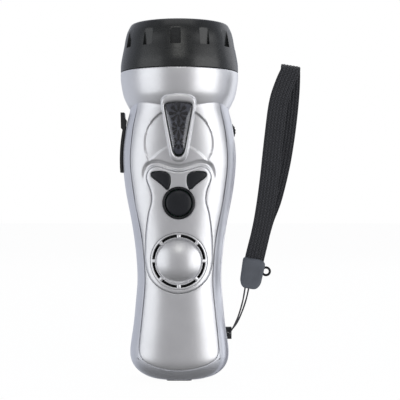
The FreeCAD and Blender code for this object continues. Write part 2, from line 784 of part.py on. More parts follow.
def speaker(outer, cavity, raised):
    height = size["speaker_height"]
    disc = cylinder("speaker_disc", size["speaker_radius"], 40, (0, -50, height), "+Y")
    rim = shared("speaker_rim", cut("speaker_wall", raised, cavity), disc)
    ball = bind(doc.addObject("Part::Sphere", "dome_ball"), Radius=20.8)
    place(ball, (0, -1, height))
    hollow = bind(doc.addObject("Part::Sphere", "dome_hollow"), Radius=19.2)
    place(hollow, (0, -1, height))
    column = cylinder("dome_column", size["slot_inner_radius"] - 0.7, 14, (0, -24, height), "+Y")
    dome = cut("dome", shared("dome_form", ball, column), hollow)
    window = cylinder("dome_window", size["slot_inner_radius"] - 1.6, 40, (0, -50, height), "+Y")
    slots = tube("slot_ring", size["slot_outer_radius"], size["slot_inner_radius"], 40, (0, -50, height), "+Y")
    half = size["spoke_width"] / 2
    reach = size["slot_outer_radius"] + 1
    spokes = []
    for number in range(4):
        spoke = box(f"spoke{number}", (-reach, reach), (-60, 0), (-half, half))
        turn = FreeCAD.Rotation(FreeCAD.Vector(0, 1, 0), 45 * number)
        for letter in "xyz":
            spoke.setExpression(f"Placement.Base.{letter}", None)
        corner = turn.multVec(FreeCAD.Vector(-float(reach), -60, -float(half)))
        spoke.Placement = FreeCAD.Placement(corner + FreeCAD.Vector(0, 0, float(height)), turn)
        spokes.append(spoke)
    open_slots = cut("open_slots", slots, *spokes)
    ring = cut("speaker_ring", rim, open_slots, window)
    node(joined("speaker_cover", ring, dome), "speaker_cover")
    deeper = body_loft("cloth_back", float(size["wall"]) + 0.6)
    front = body_loft("cloth_front", float(size["wall"]) + 0.1)
    cloth_ring = tube("cloth_ring", size["speaker_radius"] - 0.2, size["slot_inner_radius"] - 0.5, 40, (0, -50, height), "+Y")
    node(shared("speaker_cloth", cut("cloth_wall", front, deeper), cloth_ring), "speaker_cloth")
    frame = ((14.3, 13.2), (14.3, 12.2), (10.0, 10.4), (7.0, 10.4), (7.0, 11.2), (9.6, 11.2), (13.2, 13.2))
    node(turned("speaker_frame", frame, (0, 0, height), "-Y"), "speaker_frame")
    cone = ((0, 11.4), (5.6, 11.4), (12.9, 13.3), (12.9, 13.7), (5.0, 12.2), (0, 12.8))
    node(turned("speaker_cone", cone, (0, 0, height), "-Y"), "speaker_cone")
    node(cylinder("speaker_magnet", 6.9, 4.6, (0, -11.2, height), "+Y"), "speaker_magnet")


def boards():
    face, thick = size["board_face"], size["board_thickness"]
    lower = box("board_lower", (-17, 17), (-face, thick - face), (76, 128))
    upper = box("board_upper", (-17, 23.2), (-face, thick - face), (128, 140.5))
    node(joined("main_board", lower, upper), "main_board")
    places = ((0, size["round_button_height"]),)
    spread = size["side_button_spread"]
    places += tuple((side * spread, size["side_button_height"]) for side in (-1, 1))
    switches = []
    for number, (x, z) in enumerate(places):
        x, z = as_size(x), as_size(z)
        base = box(f"switch_base{number}", (x - 3, x + 3), (-face - 3.3, -face - 0.02), (z - 3, z + 3))
        plunger = cylinder(f"switch_plunger{number}", 1.4, 1, (x, -face - 4.0, z), "+Y")
        switches.append(joined(f"push_switch{number}", base, plunger))
    node(grouped("push_switches", *switches), "push_switches")


# ---------------------------------------------------------------- base and battery


def base_parts():
    half, depth = size["plug_width"] / 2, size["plug_depth"] / 2
    plate = box("plug_plate", (-half, half), (-depth, depth), (0, 2.4))
    plate = rounded_edges("plug_rounded", plate, 2.0, lambda edge: abs(edge.tangentAt(edge.FirstParameter).z) > 0.9)
    pegs = [cylinder(f"plug_peg{side}", 1.6, 2, (0, side * 4.5, 2), "+Z") for side in (-1, 1)]
    node(joined("port_cover", plate, *pegs), "port_cover")
    for name, low, high in (("charge_socket", -8, -1), ("earphone_socket", 1, 8)):
        block = box(f"{name}_block", (-3.5, 3.5), (low, high), (2.8, 10))
        bore = cylinder(f"{name}_bore", 1.75, 6, (0, (low + high) / 2, 2))
        node(cut(name, block, bore), name)
    node(box("socket_board", (-9, 9), (-9, 9), (10.05, 11.25)), "socket_board")
    cells = [cylinder(f"battery_cell{number}", 7.75, 5.9, (-9 + 6 * number, 3, 24), "+X") for number in range(3)]
    node(grouped("battery_cells", *cells), "battery_cells")
    node(tube("battery_sleeve", 8.15, 7.8, 18.6, (-9.3, 3, 24), "+X"), "battery_sleeve")


# ---------------------------------------------------------------- crank and dynamo


def involute(angle):
    return math.tan(angle) - angle


def gear(name, teeth, bore, near, height, first_tooth):
    """A spur gear about Y: its first tooth points at an angle counted from +X toward +Z."""
    pressure = math.radians(25)
    module = float(size["gear_module"])
    count = int(float(teeth))
    pitch = module * count / 2
    base = pitch * math.cos(pressure)
    tip, root = pitch + 0.8 * module, pitch - 1.05 * module
    half_tooth = math.pi / (2 * count) - 0.04 / pitch
    start = max(base, root)
    flank = []
    for step in range(5):
        radius = start + (tip - start) * step / 4
        spread = half_tooth + involute(pressure) - involute(math.acos(min(1.0, base / radius)))
        flank.append((radius, spread))
    if root < base:
        flank.insert(0, (root, flank[0][1]))
    points = []
    for tooth in range(count):
        centre = math.radians(first_tooth) + 2 * math.pi * tooth / count
        corners = [(radius, centre - spread) for radius, spread in flank]
        corners += [(radius, centre + spread) for radius, spread in reversed(flank)]
        points += [FreeCAD.Vector(r * math.cos(a), 0, r * math.sin(a)) for r, a in corners]
    wire = Part.makePolygon(points + points[:1])
    blank = prism(f"{name}_blank", wire, (0, 1, 0), size["gear_width"], at=(0, float(near), float(height)))
    hole = cylinder(f"{name}_hole", bore, 20, (0, near - 5, height), "+Y")
    return cut(name, blank, hole)


def idler_height():
    return size["crank_height"] + size["gear_module"] * (size["crank_teeth"] + size["pinion_teeth"]) / 2


def rotor_height():
    return idler_height() + size["gear_module"] * (size["idler_teeth"] + size["pinion_teeth"]) / 2


def gear_train():
    drive, dynamo = size["drive_layer"], size["dynamo_layer"]
    low, mid, high = size["crank_height"], idler_height(), rotor_height()
    gap = size["running_gap"]
    node(gear("crank_gear", size["crank_teeth"], size["shaft_radius"] + 0.01, drive, low, 90), "crank_gear")
    small = gear("idler_small", size["pinion_teeth"], 1 + gap, drive, mid, -75)
    large = gear("idler_large", size["idler_teeth"], 1 + gap, dynamo, mid, 90)
    hub = tube("idler_hub", 2.6, 1 + gap, drive - dynamo - size["gear_width"] + 0.4,
               (0, dynamo + size["gear_width"] - 0.2, mid), "+Y")
    node(joined("idler_gear", small, large, hub), "idler_gear")
    node(cylinder("idler_axle", 1, 11.4, (0, 5.2, mid), "+Y"), "idler_axle")
    node(gear("rotor_pinion", size["pinion_teeth"], 1.01, dynamo, high, -75), "rotor_pinion")
    radius = size["dynamo_radius"]
    housing = turned("dynamo_housing", ((1.4, -6), (radius, -6), (radius, 4.95), (radius - 0.7, 4.95),
                                        (radius - 0.7, -5.3), (1.4, -5.3)), (0, 0, high), "+Y")
    node(housing, "dynamo_housing")
    node(tube("dynamo_coil", radius - 0.8, 7.6, 8.6, (0, -4.6, high), "+Y"), "dynamo_coil")
    shaft = cylinder("rotor_shaft", 1, 16.2, (0, -5.8, high), "+Y")
    magnet = cylinder("rotor_magnet", 7.2, 8, (0, -4.4, high), "+Y")
    node(joined("dynamo_rotor", shaft, magnet), "dynamo_rotor")


def gearbox_plate():
    low, mid, high = size["crank_height"], idler_height(), rotor_height()
    plate = box("plate_sheet", (-15.5, 15.5), (5.0, 6.5), (77, 138))
    posts = [cylinder(f"plate_post{x}_{z}", 1.5, 10.2, (x, 6.4, z), "+Y") for x in (-13, 13) for z in (79.5, 124)]
    ways = [
        cylinder("plate_axle_hole", 1.01, 4, (0, 4, mid), "+Y"),
        cylinder("plate_shaft_hole", size["shaft_radius"] + size["running_gap"], 4, (0, 4, low), "+Y"),
        cylinder("plate_rotor_hole", 1 + size["running_gap"], 4, (0, 4, high), "+Y"),
    ]
    node(cut("gearbox_plate", joined("plate_posted", plate, *posts), *ways), "gearbox_plate")


def crank():
    height, face = size["crank_height"], size["crank_face"]
    top = face + size["crank_thickness"]
    shaft_radius = size["shaft_radius"]
    shaft = cylinder("shaft_rod", shaft_radius, top - 5.3, (0, 5.3, height), "+Y")
    thread = cylinder("shaft_thread", 1.05, 12, (0, 17, height), "+Y")
    node(cut("crank_shaft", shaft, thread), "crank_shaft")
    bore = shaft_radius + size["running_gap"]
    bush = turned("shaft_bush", ((bore, 15.2), (4.6, 15.2), (4.6, 17.4), (3.5, 17.4), (3.5, 20.9), (bore, 20.9)),
                  (0, 0, height), "+Y")
    node(bush, "shaft_bush")
    screw = ((0, 17.6), (1, 17.6), (1, top + 0.05), (3.6, top + 0.05), (3.6, top + 1.2), (3.0, top + 1.8),
             (1.2, top + 1.8), (1.2, top + 0.9), (0, top + 0.9))
    node(turned("crank_screw", screw, (0, 0, height), "+Y"), "crank_screw")
    crank_arm(height, face, top)
    crank_knob(height)


def crank_arm(height, face, top):
    """Flat arm with a hub, an open window for the folded knob, and two ears for its pin."""
    tip = height - size["crank_reach"]
    depth = size["knob_axis_depth"]
    thick = size["crank_thickness"]
    hub = cylinder("arm_hub", 9, thick, (0, face, height), "+Y")
    bar = box("arm_bar", (-7, 7), (face, top), (tip - 5.3, height))
    solid = [hub, bar]
    for name, low in (("left", -7.0), ("right", 4.7)):
        solid.append(cylinder(f"arm_{name}_ear", 3.4, 2.3, (low, depth, tip), "+X"))
        solid.append(box(f"arm_{name}_web", (low, low + 2.3), (face, depth), (tip - 3.4, tip + 3.4)))
    window = box("arm_window", (-4.7, 4.7), (face - 1, depth + 5), (tip - 3.5, tip + 25))
    pin_way = cylinder("arm_pin_way", 1.01, 16, (-8, depth, tip), "+X")
    shaft_way = cylinder("arm_shaft_way", size["shaft_radius"] + 0.01, 6, (0, face - 1, height), "+Y")
    node(cut("crank_arm", joined("arm_solid", *solid), window, pin_way, shaft_way), "crank_arm")


def crank_knob(height):
    tip = height - size["crank_reach"]
    depth = size["knob_axis_depth"]
    start = tip + 4.2
    finish = start + size["knob_length"]
    barrel = cylinder("fork_barrel", 3.2, 8.8, (-4.4, depth, tip), "+X")
    spindle = cylinder("fork_spindle", 1.5, size["knob_length"] + 4.6, (0, depth, tip))
    rivet = cylinder("fork_rivet", 2.4, 1.2, (0, depth, finish + 0.1))
    pin_bore = cylinder("fork_pin_bore", 1 + size["running_gap"], 16, (-8, depth, tip), "+X")
    node(cut("knob_spindle", joined("fork_solid", barrel, spindle, rivet), pin_bore), "knob_spindle")
    node(cylinder("knob_pin", 1, 14, (-7, depth, tip), "+X"), "knob_pin")
    radius = size["knob_radius"]
    bore = 1.5 + size["running_gap"]
    points = ((bore, start), (radius - 0.8, start), (radius, start + 0.9), (radius - 0.5, start + 6),
              (radius - 0.5, finish - 5), (radius, finish - 0.9), (radius - 0.8, finish), (bore, finish))
    node(turned("crank_knob", points, (0, depth, 0)), "crank_knob")


# ---------------------------------------------------------------- cord, clasp and strap

CLASP_CENTRE = (39.9, 57.6)
CLASP_LEAN = 9.3


def lanyard():
    side, height = size["lug_side"], size["lug_height"]
    eye = box("lug_eye", (22.8, side + 1.3), (-1.6, 1.6), (height - 3.2, height + 3.2))
    flange = box("lug_flange", (21.2, 23.0), (-3, 3), (height - 4.6, height + 4.6))
    hole = cylinder("lug_hole", 0.85, 8, (side, -4, height), "+Y")
    node(cut("lanyard_lug", joined("lug_solid", eye, flange), hole), "lanyard_lug")
    eye_x, eye_z = float(side), float(height)
    half = [(eye_x, eye_z), (30.8, 28.0), (33.6, 32.6), (35.4, 38.0), (36.4, 43.5), (36.9, 48.4)]
    front = [(x, -2.2, z) for x, z in reversed(half)]
    back = [(x, 2.2, z) for x, z in half]
    node(rod("cord", size["cord_radius"], front + back), "cord")


def clasp():
    lean = FreeCAD.Rotation(FreeCAD.Vector(0, 1, 0), CLASP_LEAN)
    centre = (CLASP_CENTRE[0], 3.3, CLASP_CENTRE[1])
    outline = ((-3.2, -8.5), (3.2, -8.5), (4.8, -6.8), (6.5, 8.5), (-6.5, 8.5), (-4.8, -6.8))
    shell = padded("clasp_shell", outline, 6.6, centre, lean)
    shell = rounded_edges("clasp_rounded", shell, 1.2, lambda edge: abs(edge.tangentAt(edge.FirstParameter).y) < 0.1)
    pocket = ((-5.5, 2.5), (5.5, 2.5), (5.5, 12), (-5.5, 12))
    mouth = padded("clasp_mouth", pocket, 4.2, (CLASP_CENTRE[0], 2.1, CLASP_CENTRE[1]), lean)
    node(cut("clasp", shell, mouth), "clasp")
    ring = bind(doc.addObject("Part::Torus", "clasp_ring"), Radius1=2.1, Radius2=0.65)
    place(ring, (47.6, 0, 58.7), TOWARD["+Y"])
    node(ring, "clasp_ring")


def strap_path():
    """Centre line of the webbing loop: up the front band, over the fold, down the back band."""
    front = ((40.8, 1.0, 62.6), (41.5, 1.0, 66.5), (45.7, 3.6, 85.8), (48.7, 5.0, 106.2),
             (51.4, 5.4, 130.9), (54.0, 4.8, 150.4), (57.5, 3.8, 161.5), (60.6, 3.2, 168.3))
    back = ((61.5, 3.2, 168.3), (61.3, 4.2, 158.4), (60.2, 4.8, 145.4), (58.4, 5.2, 130.9),
            (55.8, 5.0, 116.0), (51.4, 4.2, 98.5), (46.6, 2.6, 85.8), (41.4, 1.0, 66.5), (40.8, 1.0, 62.6))
    path = [(x, -depth, z) for x, depth, z in front]
    for degrees in (36, 72, 108, 144):
        angle = math.radians(degrees)
        path.append((61.1, -3.2 * math.cos(angle), 168.3 + 3.2 * math.sin(angle)))
    return path + [(x, depth, z) for x, depth, z in back]


def wrist_strap():
    path = [FreeCAD.Vector(*point) for point in strap_path()]
    half_width_strap = float(size["strap_width"]) / 2
    half_thick = float(size["strap_thickness"]) / 2
    wires = []
    for index, point in enumerate(path):
        ahead = path[min(index + 1, len(path) - 1)] - path[max(index - 1, 0)]
        lean = math.radians(CLASP_LEAN)
        across = FreeCAD.Vector(math.cos(lean), 0, -math.sin(lean))
        normal = ahead.cross(across)
        normal.normalize()
        corners = [point + across * half_width_strap * a + normal * half_thick * b
                   for a, b in ((-1, -1), (1, -1), (1, 1), (-1, 1))]
        wires.append(Part.makePolygon(corners + corners[:1]))
    item = doc.addObject("Part::Feature", "wrist_strap")
    item.Shape = Part.makeLoft(wires, True, True, False)
    node(item, "wrist_strap")


# ---------------------------------------------------------------- assembly


def check_and_export():
    """Stop on any failed object, then write each piece to its own file."""
    doc.recompute()
    for item in doc.Objects:
        if "Invalid" in item.State or "Error" in item.State:
            raise RuntimeError(f"{item.Name} failed: {item.State}")
    os.makedirs("parts", exist_ok=True)
    for item in nodes:
        shape = item.Shape
        if shape.isNull() or not shape.isValid() or not shape.Solids:
            raise RuntimeError(f"{item.Label} has no valid solid")
        shape.exportStep(f"parts/{item.Label}.step")
        print(item.Label, len(shape.Solids), round(shape.Volume, 1))


def main():
    fill_sheet()
    outer = body_loft("outer_form", 0.0, SHOULDER_RISE)
    cavity = body_loft("cavity_form", float(size["wall"]), SHOULDER_RISE + 1)
    raised = body_loft("raised_form", -float(size["panel_rise"]))
    proud = body_loft("proud_form", -1.5)
    casing(outer, cavity, raised)
    case_screws()
    lamp_head()
    bezel_ring()
    lamp_parts()
    signal_lamp()
    buttons(proud)
    side_controls()
    speaker(outer, cavity, raised)
    boards()
    base_parts()
    gear_train()
    gearbox_plate()
    crank()
    lanyard()
    clasp()
    wrist_strap()
    check_and_export()


main()
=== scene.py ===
import math

import bmesh
import bpy
import numpy as np
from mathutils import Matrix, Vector
from mathutils.geometry import delaunay_2d_cdt
from mathutils.kdtree import KDTree


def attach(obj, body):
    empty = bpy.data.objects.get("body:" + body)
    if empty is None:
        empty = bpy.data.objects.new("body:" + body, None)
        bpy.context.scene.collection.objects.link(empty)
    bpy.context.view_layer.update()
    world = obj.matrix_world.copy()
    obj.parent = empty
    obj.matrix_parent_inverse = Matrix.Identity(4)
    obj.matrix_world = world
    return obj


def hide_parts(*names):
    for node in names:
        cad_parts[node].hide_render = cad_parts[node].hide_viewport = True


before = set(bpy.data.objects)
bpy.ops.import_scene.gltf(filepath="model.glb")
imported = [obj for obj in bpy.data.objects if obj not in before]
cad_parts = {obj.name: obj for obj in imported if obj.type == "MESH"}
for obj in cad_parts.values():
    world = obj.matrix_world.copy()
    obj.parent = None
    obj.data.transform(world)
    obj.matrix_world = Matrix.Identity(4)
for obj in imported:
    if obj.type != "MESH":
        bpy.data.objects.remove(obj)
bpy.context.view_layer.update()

MM = 0.001

# -------------------- body form (millimetres)

# height, half width, depth to the front
STATIONS = np.array((
    (14.3, 26.95, 18.0), (36.3, 24.5, 18.4), (55.0, 23.0, 18.8), (76.0, 24.5, 19.6),
    (98.0, 28.6, 20.8), (120.0, 30.95, 22.4), (136.0, 29.4, 24.3), (147.0, 26.95, 26.95),
))
WIDTH, FRONT = 1, 2
FRONT_ROUNDNESS = 2.4
HEEL_Z, BASE_Z = 14.3, 0.6
PANEL_RISE = 0.8
SEAM = 0.08
TAPE_WIDTH, TAPE_RIBS = 10.4, 6
CORD_RADIUS, CORD_SIDES = 0.43, 12
RAIL_WIDTH = 4.7
GRIP_FOOT = 180.0
ROUND_BUTTON_Z, SPEAKER_Z = 96.3, 65.3
BEZEL_SECTORS, SPEAKER_SECTORS = 12, 8
BULB = np.array(((26.95, 147.1), (28.9, 150.7), (30.7, 155.1), (31.7, 160.0), (32.2, 164.5), (32.2, 167.4)))


def tangents(heights, values):
    slopes = np.diff(values) / np.diff(heights)
    inner = [0.0 if a * b <= 0 else 2 * a * b / (a + b) for a, b in zip(slopes, slopes[1:])]
    return np.array([slopes[0]] + inner + [slopes[-1]])


def smooth(heights, values, at):
    """Cubic through the stations that never overshoots between two of them."""
    slope = tangents(heights, values)
    at = np.clip(np.asarray(at, float), heights[0], heights[-1])
    index = np.clip(np.searchsorted(heights, at, side="right") - 1, 0, len(heights) - 2)
    step = heights[index + 1] - heights[index]
    share = (at - heights[index]) / step
    rise = (3 - 2 * share) * share ** 2
    lead = share * (1 - share) ** 2 * step
    trail = -(1 - share) * share ** 2 * step
    blend = values[index] * (1 - rise) + values[index + 1] * rise
    return blend + slope[index] * lead + slope[index + 1] * trail


def body_size(column, z):
    """Half width or depth of the body at a height, with the rounded heel below the first station."""
    z = np.asarray(z, float)
    above = smooth(STATIONS[:, 0], STATIONS[:, column], z)
    cosine = np.clip((HEEL_Z - z) / (HEEL_Z - BASE_Z), 0, 1)
    drop = (16.0 if column == WIDTH else 9.0) * (1 - np.sqrt(1 - cosine ** 2))
    return np.where(z < HEEL_Z, STATIONS[0, column] - drop, above)


def front_y(x, z, grow=0.0):
    """The front surface of the body, as -Y."""
    side = body_size(WIDTH, z) + grow
    depth = body_size(FRONT, z) + grow
    share = np.clip(np.abs(x) / side, 0, 1)
    return -depth * np.clip(1 - share ** FRONT_ROUNDNESS, 0, 1) ** (1 / FRONT_ROUNDNESS)


def bulb_radius(z):
    return smooth(BULB[:, 1], BULB[:, 0], z)


# -------------------- mesh tools


def make_object(name, vertices, faces, body, material, replaces=(), smooth_angle=40):
    """A mesh in millimetres becomes a piece in metres that rides on a body."""
    mesh = bpy.data.meshes.new(name)
    mesh.from_pydata([tuple(v * MM for v in vertex) for vertex in vertices], [], [tuple(f) for f in faces])
    work = bmesh.new()
    work.from_mesh(mesh)
    bmesh.ops.remove_doubles(work, verts=work.verts, dist=1e-7)
    bmesh.ops.dissolve_degenerate(work, edges=work.edges, dist=1e-8)
    bmesh.ops.recalc_face_normals(work, faces=work.faces)
    work.to_mesh(mesh)
    work.free()
    obj = bpy.data.objects.new(name, mesh)
    bpy.context.scene.collection.objects.link(obj)
    mesh.materials.append(material)
    for polygon in mesh.polygons:
        polygon.use_smooth = True
    mesh.set_sharp_from_angle(angle=math.radians(smooth_angle))
    if replaces:
        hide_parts(*replaces)
    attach(obj, body)
    return obj


def case_skin(name, vertices, faces, node, finish):
    """A silver painted piece of the casing that stands in for one CAD node."""
    return make_object(name, vertices, faces, "casing", finish["face"], (node,))


def grid(rows, cols):
    """Quads between closed rows of equally many points."""
    faces = []
    for r in range(rows - 1):
        for c in range(cols):
            d = (c + 1) % cols
            faces.append((r * cols + c, r * cols + d, (r + 1) * cols + d, (r + 1) * cols + c))
    return faces


def loft(loops, close=False, cap_start=False, cap_end=False):
    """Vertices and faces of a skin over closed loops of equally many points."""
    count = len(loops[0])
    vertices = [tuple(p) for loop in loops for p in loop]
    faces = grid(len(loops), count)
    if close:
        last = (len(loops) - 1) * count
        faces += [(last + c, last + (c + 1) % count, (c + 1) % count, c) for c in range(count)]
    for wanted, row in ((cap_start, 0), (cap_end, len(loops) - 1)):
        if wanted:
            centre = np.mean(np.array(loops[row]), axis=0)
            vertices.append(tuple(centre))
            hub = len(vertices) - 1
            faces += [(row * count + c, row * count + (c + 1) % count, hub) for c in range(count)]
    return vertices, faces


def solid(obj, thickness):
    """Thickness inward from the modelled surface."""
    shell = obj.modifiers.new("Thickness", "SOLIDIFY")
    shell.thickness = thickness * MM
    shell.offset = -1.0
    shell.use_even_offset = False
    return obj


def resample(points, spacing, closed=True):
    """Equally spaced points along a polyline."""
    points = np.array(points, float)
    if closed:
        points = np.vstack([points, points[:1]])
    lengths = np.concatenate([[0], np.cumsum(np.linalg.norm(np.diff(points, axis=0), axis=1))])
    count = max(8, int(round(lengths[-1] / spacing)))
    at = np.linspace(0, lengths[-1], count, endpoint=not closed)
    return np.stack([np.interp(at, lengths, points[:, k]) for k in range(points.shape[1])], axis=1)


def headings(line):
    """Unit vectors along a polyline."""
    ahead = np.gradient(line, axis=0)
    return ahead / np.linalg.norm(ahead, axis=1)[:, None]


def spline(points, closed=False, steps=12):
    """Catmull-Rom curve through points."""
    points = np.array(points, float)
    count = len(points)
    out = []
    for i in range(count if closed else count - 1):
        if closed:
            a, b, c, d = (points[(i + k) % count] for k in (-1, 0, 1, 2))
        else:
            a, b, c, d = (points[min(max(i + k, 0), count - 1)] for k in (-1, 0, 1, 2))
        for s in range(steps):
            t = s / steps
            out.append(0.5 * (2 * b + (c - a) * t + (2 * a - 5 * b + 4 * c - d) * t * t
                              + (3 * b - a - 3 * c + d) * t ** 3))
    if not closed:
        out.append(points[-1])
    return np.array(out)


def outward(loop):
    """Unit normals that point out of a closed 2-D loop."""
    ahead = np.roll(loop, -1, axis=0) - np.roll(loop, 1, axis=0)
    ahead /= np.linalg.norm(ahead, axis=1)[:, None] + 1e-12
    area = np.sum(loop[:, 0] * np.roll(loop[:, 1], -1) - np.roll(loop[:, 0], -1) * loop[:, 1])
    turn = 1 if area > 0 else -1
    return np.stack([ahead[:, 1], -ahead[:, 0]], axis=1) * turn


def rounded_polygon(corners, radii, steps):
    """A polygon with each corner rounded by an arc of its own radius."""
    corners = np.array(corners, float)
    count = len(corners)
    out = []
    for i in range(count):
        here, before, after = corners[i], corners[i - 1], corners[(i + 1) % count]
        u = (before - here) / np.linalg.norm(before - here)
        v = (after - here) / np.linalg.norm(after - here)
        half = math.acos(max(-1, min(1, float(u @ v)))) / 2
        reach = radii[i] / math.tan(half)
        middle = (u + v) / np.linalg.norm(u + v)
        centre = here + middle * radii[i] / math.sin(half)
        a, b = here + u * reach - centre, here + v * reach - centre
        sweep = math.pi - 2 * half
        for s in range(steps + 1):
            t = s / steps
            out.append(centre + (math.sin((1 - t) * sweep) * a + math.sin(t * sweep) * b) / math.sin(sweep))
    return np.array(out)


def inside(points, loop):
    """Which 2-D points lie inside a closed loop."""
    x, y = points[:, 0][:, None], points[:, 1][:, None]
    x0, y0 = loop[:, 0][None, :], loop[:, 1][None, :]
    x1, y1 = np.roll(loop[:, 0], -1)[None, :], np.roll(loop[:, 1], -1)[None, :]
    crosses = (y0 > y) != (y1 > y)
    at = x0 + (y - y0) * (x1 - x0) / np.where(y1 == y0, 1e-12, y1 - y0)
    return (np.sum(crosses & (x < at), axis=1) % 2).astype(bool)


def nearest(points):
    """A search tree over 3-D points."""
    tree = KDTree(len(points))
    for index, point in enumerate(points):
        tree.insert(point, index)
    tree.balance()
    return tree


def distance_to(points, loop):
    tree = nearest([(x, z, 0) for x, z in loop])
    return np.array([tree.find((x, z, 0))[2] for x, z in points])


def staggered(loop, step):
    """Points of a brick-like lattice over a loop's box."""
    low, high = loop.min(0), loop.max(0)
    xs = np.arange(low[0], high[0], step)
    zs = np.arange(low[1], high[1], step)
    return np.array([(x + (0.5 * step if j % 2 else 0), z) for j, z in enumerate(zs) for x in xs])


def sheet(outer, holes, depth, edge=0.6, hole_edges=None, spacing=0.45, fill=1.5, dense=None):
    """A sheet over a region of the XZ plane, with holes and rounded rims.

    depth(x, z) gives -Y; edge is the rim's rounding; dense(points) tells where the fill is finer.
    """
    hole_edges = hole_edges or [edge] * len(holes)
    loops = [resample(outer, spacing)] + [resample(hole, spacing) for hole in holes]
    rims = [edge] + list(hole_edges)
    points, constraints = [], []
    for loop in loops:
        base = len(points)
        points += [tuple(p) for p in loop]
        constraints += [(base + i, base + (i + 1) % len(loop)) for i in range(len(loop))]
    points = np.array(points)

    def within(candidates):
        keep = inside(candidates, loops[0])
        for loop in loops[1:]:
            keep &= ~inside(candidates, loop)
        return keep

    def clear_of(candidates, margin):
        candidates = candidates[within(candidates)]
        for loop, rim in zip(loops, rims):
            if len(candidates):
                candidates = candidates[distance_to(candidates, loop) > margin(rim)]
        return candidates

    extra = []
    for number, (loop, rim) in enumerate(zip(loops, rims)):
        normal = outward(loop) * (-1 if number == 0 else 1)
        for degrees in (25, 45, 65, 90):
            inset = rim * (1 - math.cos(math.radians(degrees)))
            ring = loop + normal * inset
            ring = ring[distance_to(ring, loop) > inset * 0.93]
            extra.append(ring[within(ring)])
    lattice = clear_of(staggered(loops[0], fill), lambda rim: rim + 0.45 * fill)
    if dense is not None:
        fine = fill / 3
        close = staggered(loops[0], fine)
        close = close[dense(close)]
        close = clear_of(close, lambda rim: rim + 0.4 * fine)
        lattice = lattice[~dense(lattice)]
        extra.append(close)
    cloud = np.vstack([points] + [e for e in extra if len(e)] + [lattice])
    result = delaunay_2d_cdt([Vector(p) for p in cloud], constraints, [], 0, 1e-5)
    flat = np.array([tuple(v) for v in result[0]])
    faces = np.array([f for f in result[2] if len(f) == 3])
    faces = faces[within(flat[faces].mean(axis=1))]
    used = np.unique(faces)
    order = -np.ones(len(flat), int)
    order[used] = np.arange(len(used))
    flat, faces = flat[used], order[faces]
    sink = np.zeros(len(flat))
    for loop, rim in zip(loops, rims):
        gap = np.clip(distance_to(flat, resample(loop, 0.12)), 0, rim)
        sink = np.maximum(sink, rim - np.sqrt(np.maximum(rim ** 2 - (rim - gap) ** 2, 0)))
    y = depth(flat[:, 0], flat[:, 1]) + sink
    vertices = np.stack([flat[:, 0], y, flat[:, 1]], axis=1)
    return vertices, faces


def rings_about(profile, count, centre=(0, 0, 0), toward="z"):
    """Loops of a turned profile of (radius, height) about an axis through centre, along z or -y."""
    angles = np.arange(count) * 2 * math.pi / count
    loops = []
    for radius, height in profile:
        c, s = radius * np.cos(angles), radius * np.sin(angles)
        h = np.full(count, float(height))
        loop = (c, s, h) if toward == "z" else (c, -h, s)
        loops.append(np.stack(loop, axis=1) + np.array(centre))
    return loops


# -------------------- outlines


def face_outline():
    """Edge of the front face: beside the rails, round the heel, and along the lamp head's crease."""
    heights = np.linspace(12.6, 146, 90)
    side = body_size(WIDTH, np.maximum(heights, HEEL_Z)) - RAIL_WIDTH - SEAM
    right = np.stack([side, heights], axis=1)
    lowest, corner = 6.3 + SEAM, np.array((side[0], heights[0]))
    radius = (corner[0] ** 2 + (corner[1] - lowest) ** 2) / (2 * (corner[1] - lowest))
    sweep = math.asin(corner[0] / radius)
    angles = np.linspace(-sweep, sweep, 40)
    bottom = np.stack([radius * np.sin(angles), lowest + radius * (1 - np.cos(angles))], axis=1)
    top_x = side[-1]
    across = np.linspace(top_x, -top_x, 60)
    top = np.stack([across, crease_height(across)], axis=1)
    left = np.stack([-right[::-1, 0], right[::-1, 1]], axis=1)
    outline = np.vstack([bottom[:-1], right, top, left[:-1]])
    return resample(soften(outline, 3), 0.45)


def round_heel(loop):
    """The same outline with its two lower corners well rounded."""
    loop = resample(loop, 0.45)
    low = (loop[:, 1] < 27)[:, None]
    for _ in range(170):
        loop = np.where(low, averaged(loop), loop)
    return loop


def below(loop, height):
    """The part of an outline under a height, closed straight across."""
    loop = np.array(loop)
    loop = np.roll(loop, -int(np.argmax(loop[:, 1])), axis=0)
    kept = loop[loop[:, 1] < height]
    across = np.linspace(kept[-1], kept[0], 90)[1:-1]
    return resample(np.vstack([kept, across]), 0.45)


def averaged(loop):
    """One smoothing pass: every point moves halfway to the mean of its neighbours."""
    return 0.5 * loop + 0.25 * (np.roll(loop, 1, axis=0) + np.roll(loop, -1, axis=0))


def soften(loop, passes):
    loop = resample(loop, 0.45)
    for _ in range(passes * 4):
        loop = averaged(loop)
    return loop


def crease_height(x):
    """Where the body's shoulders meet the round lamp head."""
    x = np.abs(np.asarray(x, float))
    z = np.full(x.shape, 147.1)
    for _ in range(40):
        radius = np.hypot(x, front_y(x, np.full(x.shape, 147.0)))
        z = np.clip(z + 0.6 * (radius - bulb_radius(z)), 146.6, 153.5)
    return z


def panel_outline(grow=0.0):
    half = ((0, 112.8), (6.1, 113.9), (11.1, 115.4), (15.2, 114.4), (17.2, 109.8), (14.8, 102.5),
            (14.4, 97.0), (16.2, 90.0), (17.6, 80.0), (18.1, 71.0), (18.1, 65.0), (15.6, 56.6), (9.0, 50.4))
    right = list(half) + [(0, 48.0)]
    left = [(-x, z) for x, z in reversed(half[1:])]
    loop = resample(spline(right + left, closed=True), 0.4)
    return loop + outward(loop) * grow


